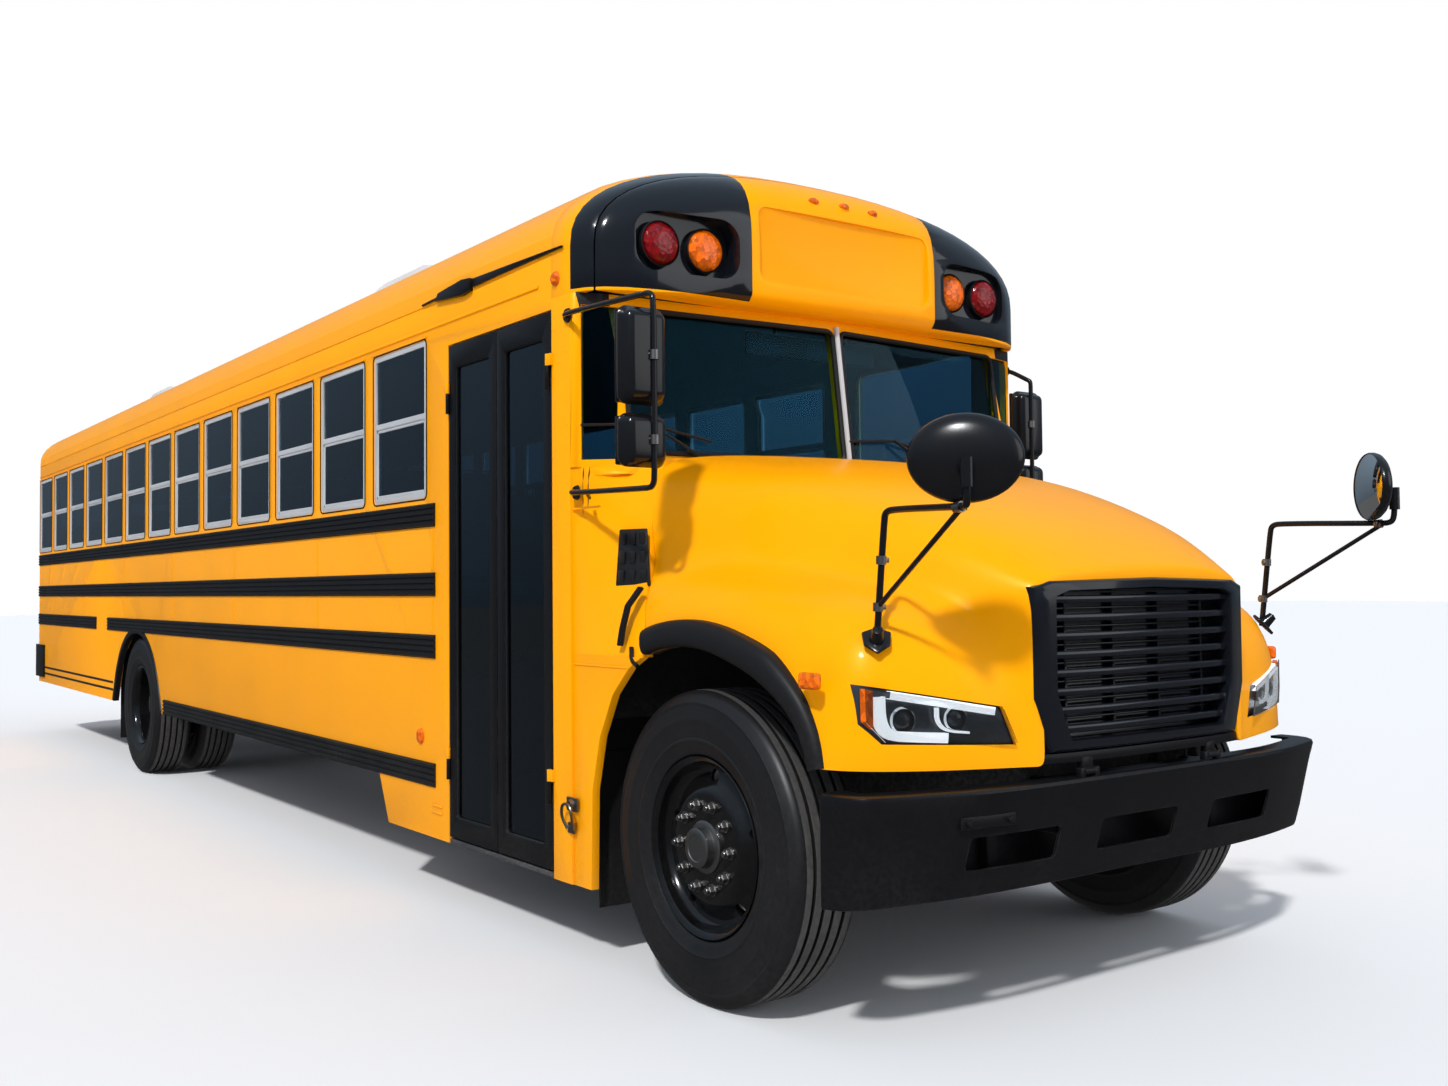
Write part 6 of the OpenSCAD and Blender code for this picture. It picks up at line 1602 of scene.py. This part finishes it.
# %% [markdown]
# ## Inside
# The cabin shows through the glass, so it has its padded benches, the driver's seat, the wheel and the
# dashboard's dials. The benches are cushions: one cushion and one back are blown up like real foam by a
# short cloth simulation and then copied to every place, which keeps the simulation quick.

# %% Padded forms
vinyl = finish("seat_vinyl", (0.020, 0.040, 0.075, 1.0), 0.42, drift=0.15, grain=150.0, bump=0.35, dust=0.0)
piping_vinyl = finish("piping_vinyl", (0.012, 0.022, 0.040, 1.0), 0.38, grain=200.0, bump=0.2, dust=0.0)
cloth_dark = finish("driver_cloth", (0.030, 0.031, 0.035, 1.0), 0.85, grain=900.0, bump=0.6, dust=0.0)


def padded_form(size, cuts=9, cap=0.012):
    """A block of foam, its faces crowned by a cloth under pressure; returns vertices and faces."""
    bm = bmesh.new()
    add_box(bm, Vector(size) * -0.5, Vector(size) * 0.5, min(size) * 0.22, 2)
    bmesh.ops.subdivide_edges(bm, edges=[e for e in bm.edges if e.calc_length() > min(size)], cuts=cuts,
                              use_grid_fill=True)
    mesh = bpy.data.meshes.new("foam")
    bm.to_mesh(mesh)
    bm.free()
    foam = bpy.data.objects.new("foam", mesh)
    bpy.context.scene.collection.objects.link(foam)
    start = [vert.co.copy() for vert in mesh.vertices]
    cloth = foam.modifiers.new("cloth", "CLOTH")
    cloth.settings.quality = 5
    cloth.settings.use_pressure = True
    cloth.settings.uniform_pressure_force = 4.0
    cloth.settings.effector_weights.gravity = 0.0
    cloth.settings.tension_stiffness = 12.0
    cloth.collision_settings.use_self_collision = False
    for step in range(1, 21):
        bpy.context.scene.frame_set(step)
    shaped = foam.evaluated_get(bpy.context.evaluated_depsgraph_get()).to_mesh()
    for vert, first, now in zip(mesh.vertices, start, shaped.vertices):
        move = now.co - first
        vert.co = first + (move if move.length <= cap else move.normalized() * cap)
    bpy.context.scene.frame_set(1)
    bpy.data.objects.remove(foam)
    return mesh


SEAT_W, SEAT_DEPTH, CUSHION_Z, CUSHION_T, FLOOR_Z = 0.860, 0.400, 1.330, 0.130, 1.000
BACK_TOP_Z = 2.060
cushion_mesh = padded_form((SEAT_DEPTH - 0.012, SEAT_W - 0.016, CUSHION_T - 0.014))
back_height = 0.700
back_mesh = padded_form((0.075, SEAT_W - 0.016, back_height))
print("foam pieces", len(cushion_mesh.vertices), len(back_mesh.vertices))


def place_form(bm, mesh, matrix):
    start = len(bm.verts)
    bm.from_mesh(mesh)
    bmesh.ops.transform(bm, matrix=matrix, verts=list(bm.verts)[start:])


# %% Benches
bench_places = [(-2.990 - index * WINDOW_PITCH, side) for index in range(12) for side in (-1, 1)
                if -2.990 - index * WINDOW_PITCH > WALL_REAR + 0.19]
cushions, backs, piping, legs = bmesh.new(), bmesh.new(), bmesh.new(), bmesh.new()
lean = Matrix.Rotation(math.radians(-6.5), 4, "Y")
for x, side in bench_places:
    y = side * (HALF_WIDTH - 0.040 - 0.012 - SEAT_W / 2)
    place_form(cushions, cushion_mesh, Matrix.Translation(at(x + SEAT_DEPTH / 2, y,
                                                             CUSHION_Z + CUSHION_T / 2)))
    centre = at(x - 0.002, y, BACK_TOP_Z - 0.012 - back_height / 2)
    place_form(backs, back_mesh, Matrix.Translation(centre) @ lean)
    for z in (CUSHION_Z + 0.012, CUSHION_Z + CUSHION_T - 0.012):
        outline = rounded_outline(x + 0.008, y - SEAT_W / 2 + 0.008, x + SEAT_DEPTH - 0.008,
                                  y + SEAT_W / 2 - 0.008, 0.03, 3)
        line = [at(px, py, z) for px, py in outline]
        add_tube(piping, line + line[:1], 0.004, 5)
    for shift in (-0.034, 0.034):
        outline = rounded_outline(-SEAT_W / 2 + 0.012, -back_height / 2 + 0.004, SEAT_W / 2 - 0.012,
                                  back_height / 2 - 0.004, 0.03, 3)
        line = [centre + lean @ Vector((shift, py, pz)) for py, pz in outline]
        add_tube(piping, line + line[:1], 0.004, 5)
    aisle_y = y - side * (SEAT_W / 2 - 0.065)
    for leg_x in (x + 0.045, x + SEAT_DEPTH - 0.045):
        add_box(legs, at(leg_x - 0.015, aisle_y - 0.025, FLOOR_Z),
                at(leg_x + 0.015, aisle_y + 0.025, CUSHION_Z + 0.006), 0.004, 1)
    add_box(legs, at(x + 0.02, aisle_y - 0.035, FLOOR_Z),
            at(x + SEAT_DEPTH - 0.02, aisle_y + 0.035, FLOOR_Z + 0.008), 0.002, 1)
bench_cushions = hand_over("bench_cushions", cushions, vinyl, "bus", ["passenger_seats"], 60.0)
bench_backs = hand_over("bench_backs", backs, vinyl, "bus", smooth=60.0)
hand_over("bench_piping", piping, piping_vinyl, "bus", smooth=60.0)
hand_over("bench_legs", legs, chassis_paint, "bus")

# %% Driver's seat
DRIVER_X, DRIVER_Y = -1.900, 0.600
driver_cushion = padded_form((0.440, 0.464, 0.115), cuts=7, cap=0.010)
driver_back = padded_form((0.095, 0.444, 0.640), cuts=7, cap=0.010)
seat = bmesh.new()
place_form(seat, driver_cushion, Matrix.Translation(at(DRIVER_X + 0.170, DRIVER_Y, FLOOR_Z + 0.316)))
place_form(seat, driver_back, Matrix.Translation(at(DRIVER_X - 0.045, DRIVER_Y, FLOOR_Z + 0.650)) @ lean)
driver_pads = hand_over("driver_seat_pads", seat, cloth_dark, "bus", ["driver_seat"], 60.0)
pedestal = bmesh.new()
add_turned(pedestal, [(0.10, 0.0), (0.085, 0.012), (0.060, 0.030), (0.055, 0.20), (0.085, 0.235),
                      (0.10, 0.252)],
           (0, 0, 1), at(DRIVER_X + 0.090, DRIVER_Y, FLOOR_Z), 28)
hand_over("driver_seat_pedestal", pedestal, chassis_paint, "bus")

# %% Instruments
dials = bmesh.new()
for y, radius in ((0.50, 0.052), (0.64, 0.052), (0.77, 0.036), (0.38, 0.036)):
    add_turned(dials, [(0, 0.002), (radius * 0.9, 0.002), (radius * 0.95, 0.008), (radius, 0.006),
                       (radius, -0.004)],
               (-1, 0, 0.35), at(-0.879, y, 1.690), 28)
hand_over("dashboard_dials", dials, lamp_dark, "bus")
inner_mirror = bmesh.new()
add_box(inner_mirror, at(-0.700, -0.36, 2.370), at(-0.680, 0.36, 2.470), 0.010, 3)
add_tube(inner_mirror, [at(-0.690, -0.2, 2.46), at(-0.690, -0.2, 2.58)], 0.008)
add_tube(inner_mirror, [at(-0.690, 0.2, 2.46), at(-0.690, 0.2, 2.58)], 0.008)
hand_over("inside_mirror", inner_mirror, moulded_black, "bus")

# %% [markdown]
# ## Rear end
# At the back the emergency door has a raised rubber seal and a grab handle, the plate is held in
# a shallow frame under a small lamp, and reflectors sit low at the corners.

# %% Emergency door seals, plate and reflectors
rear_seal = bmesh.new()
door_outline = rounded_outline(-0.433, 1.017, 0.433, 2.433, 0.02)
line = [Vector((REAR_FACE - 0.004, y, z)) for y, z in door_outline]
add_tube(rear_seal, line + line[:1], 0.007, 6)
hand_over("emergency_door_seal", rear_seal, rubber_black, "emergency_door")
window_seals = bmesh.new()
for y0, z0, y1, z1 in ((-0.350, 1.830, 0.350, 2.350), (-0.350, 1.180, 0.350, 1.580)):
    line = [Vector((REAR_FACE - 0.004, y, z)) for y, z in rounded_outline(y0, z0, y1, z1, 0.03)]
    add_tube(window_seals, line + line[:1], 0.009, 6)
handle = [(-0.006, 1.52), (-0.020, 1.53), (-0.024, 1.56), (-0.024, 1.80), (-0.020, 1.83), (-0.006, 1.84)]
add_tube(window_seals, eased([Vector((REAR_FACE + x, 0.402, z)) for x, z in handle], 1), 0.009, 8)
hand_over("emergency_window_seals", window_seals, rubber_black, "emergency_door")
side_seals = bmesh.new()
for side in (-1, 1):
    y0, y1 = sorted((side * 0.590, side * 1.020))
    line = [Vector((REAR_FACE, y, z)) for y, z in rounded_outline(y0, 1.814, y1, 2.480, 0.03)]
    add_tube(side_seals, line + line[:1], 0.009, 6)
hand_over("rear_window_seals", side_seals, rubber_black, "bus")
plate_frame = bmesh.new()
add_box(plate_frame, (REAR_FACE - 0.008, 0.520, 0.960), (REAR_FACE + 0.002, 0.840, 1.130), 0.003)
add_box(plate_frame, (REAR_FACE - 0.030, 0.640, 1.150), (REAR_FACE + 0.002, 0.720, 1.175), 0.006, 3)
hand_over("rear_plate_holder", plate_frame, black_satin, "bus")
reflectors = bmesh.new()
for side in (-1, 1):
    add_turned(reflectors, [(0, 0.008), (0.034, 0.008), (0.038, 0.0)], (-1, 0, 0),
               Vector((REAR_FACE + 0.001, side * 1.060, 1.020)), 28)
    add_turned(reflectors, [(0, 0.008), (0.034, 0.008), (0.038, 0.0)], (0, side, 0),
               at(WALL_REAR + 0.22, side * HALF_WIDTH, 0.800), 28)
hand_over("rear_reflectors", reflectors, lens_red, "bus")

# %% [markdown]
# ## Stage
# A pale floor and a soft studio: one broad key from the right front, a weak fill and a white surround.

# %% Floor, lights and surround
floor_mesh = bmesh.new()
bmesh.ops.create_grid(floor_mesh, x_segments=1, y_segments=1, size=90.0)
floor_data = bpy.data.meshes.new("studio_floor")
floor_mesh.to_mesh(floor_data)
floor_mesh.free()
floor_piece = bpy.data.objects.new("studio_floor", floor_data)
bpy.context.scene.collection.objects.link(floor_piece)


def add_light(name, kind, energy, place, target, size=1.0, colour=(1, 1, 1)):
    data = bpy.data.lights.new(name, kind)
    data.energy = energy
    data.color = colour
    if kind == "SUN":
        data.angle = size
    else:
        data.shape = "DISK"
        data.size = size
    lamp = bpy.data.objects.new(name, data)
    bpy.context.scene.collection.objects.link(lamp)
    way = Vector(target) - Vector(place)
    lamp.matrix_world = Matrix.Translation(place) @ way.to_track_quat("-Z", "Y").to_matrix().to_4x4()
    return lamp


add_light("key", "SUN", 2.7, (9, -9, 12), (2, 0, 1), size=math.radians(4.0))
add_light("fill", "SUN", 0.5, (12, 7, 4), (2, 0, 1), size=math.radians(40.0))

floor_paint = bpy.data.materials.new("floor_paint")
floor_paint.use_nodes = True
tree = floor_paint.node_tree
tree.nodes.clear()
light_path = tree.nodes.new("ShaderNodeLightPath")
shown = math_node(tree, "ADD", light_path.outputs["Is Glossy Ray"],
                  light_path.outputs["Is Transmission Ray"], True)
strength = span_node(tree, light_path.outputs["Is Glossy Ray"], 0.0, 1.0, 0.80, 0.13)
pale = add_node(tree, "ShaderNodeBsdfDiffuse", {"Color": (0.80, 0.80, 0.80, 1.0)})
glow = add_node(tree, "ShaderNodeEmission", {"Color": (0.82, 0.83, 0.85, 1.0), "Strength": strength})
mixed = add_node(tree, "ShaderNodeMixShader", {0: shown})
tree.links.new(pale.outputs[0], mixed.inputs[1])
tree.links.new(glow.outputs[0], mixed.inputs[2])
out = tree.nodes.new("ShaderNodeOutputMaterial")
tree.links.new(mixed.outputs[0], out.inputs["Surface"])
floor_data.materials.append(floor_paint)

world = bpy.data.worlds.new("studio")
bpy.context.scene.world = world
world.use_nodes = True
tree = world.node_tree
tree.nodes.clear()
light_path = tree.nodes.new("ShaderNodeLightPath")
seen = math_node(tree, "ADD", light_path.outputs["Is Camera Ray"],
                 math_node(tree, "ADD", light_path.outputs["Is Glossy Ray"],
                           light_path.outputs["Is Transmission Ray"]), True)
studio = add_node(tree, "ShaderNodeBackground", {"Color": (0.80, 0.88, 1.0, 1.0), "Strength": 0.62})
way = add_node(tree, "ShaderNodeSeparateXYZ", {0: tree.nodes.new("ShaderNodeTexCoord").outputs["Generated"]})
graded = span_node(tree, way.outputs["Z"], -0.05, 0.75, 0.10, 0.60)
brightness = math_node(tree, "SUBTRACT", 1.0, math_node(tree, "MULTIPLY", light_path.outputs["Is Glossy Ray"],
                                                       math_node(tree, "SUBTRACT", 1.0, graded)))
tint = mix_colours(tree, light_path.outputs["Is Glossy Ray"], (1, 1, 1, 1), (0.62, 0.80, 1.0, 1))
white = add_node(tree, "ShaderNodeBackground", {"Color": tint, "Strength": brightness})
mixed = add_node(tree, "ShaderNodeMixShader", {0: seen})
tree.links.new(studio.outputs[0], mixed.inputs[1])
tree.links.new(white.outputs[0], mixed.inputs[2])
out = tree.nodes.new("ShaderNodeOutputWorld")
tree.links.new(mixed.outputs[0], out.inputs["Surface"])
bpy.context.scene.view_settings.view_transform = "Standard"
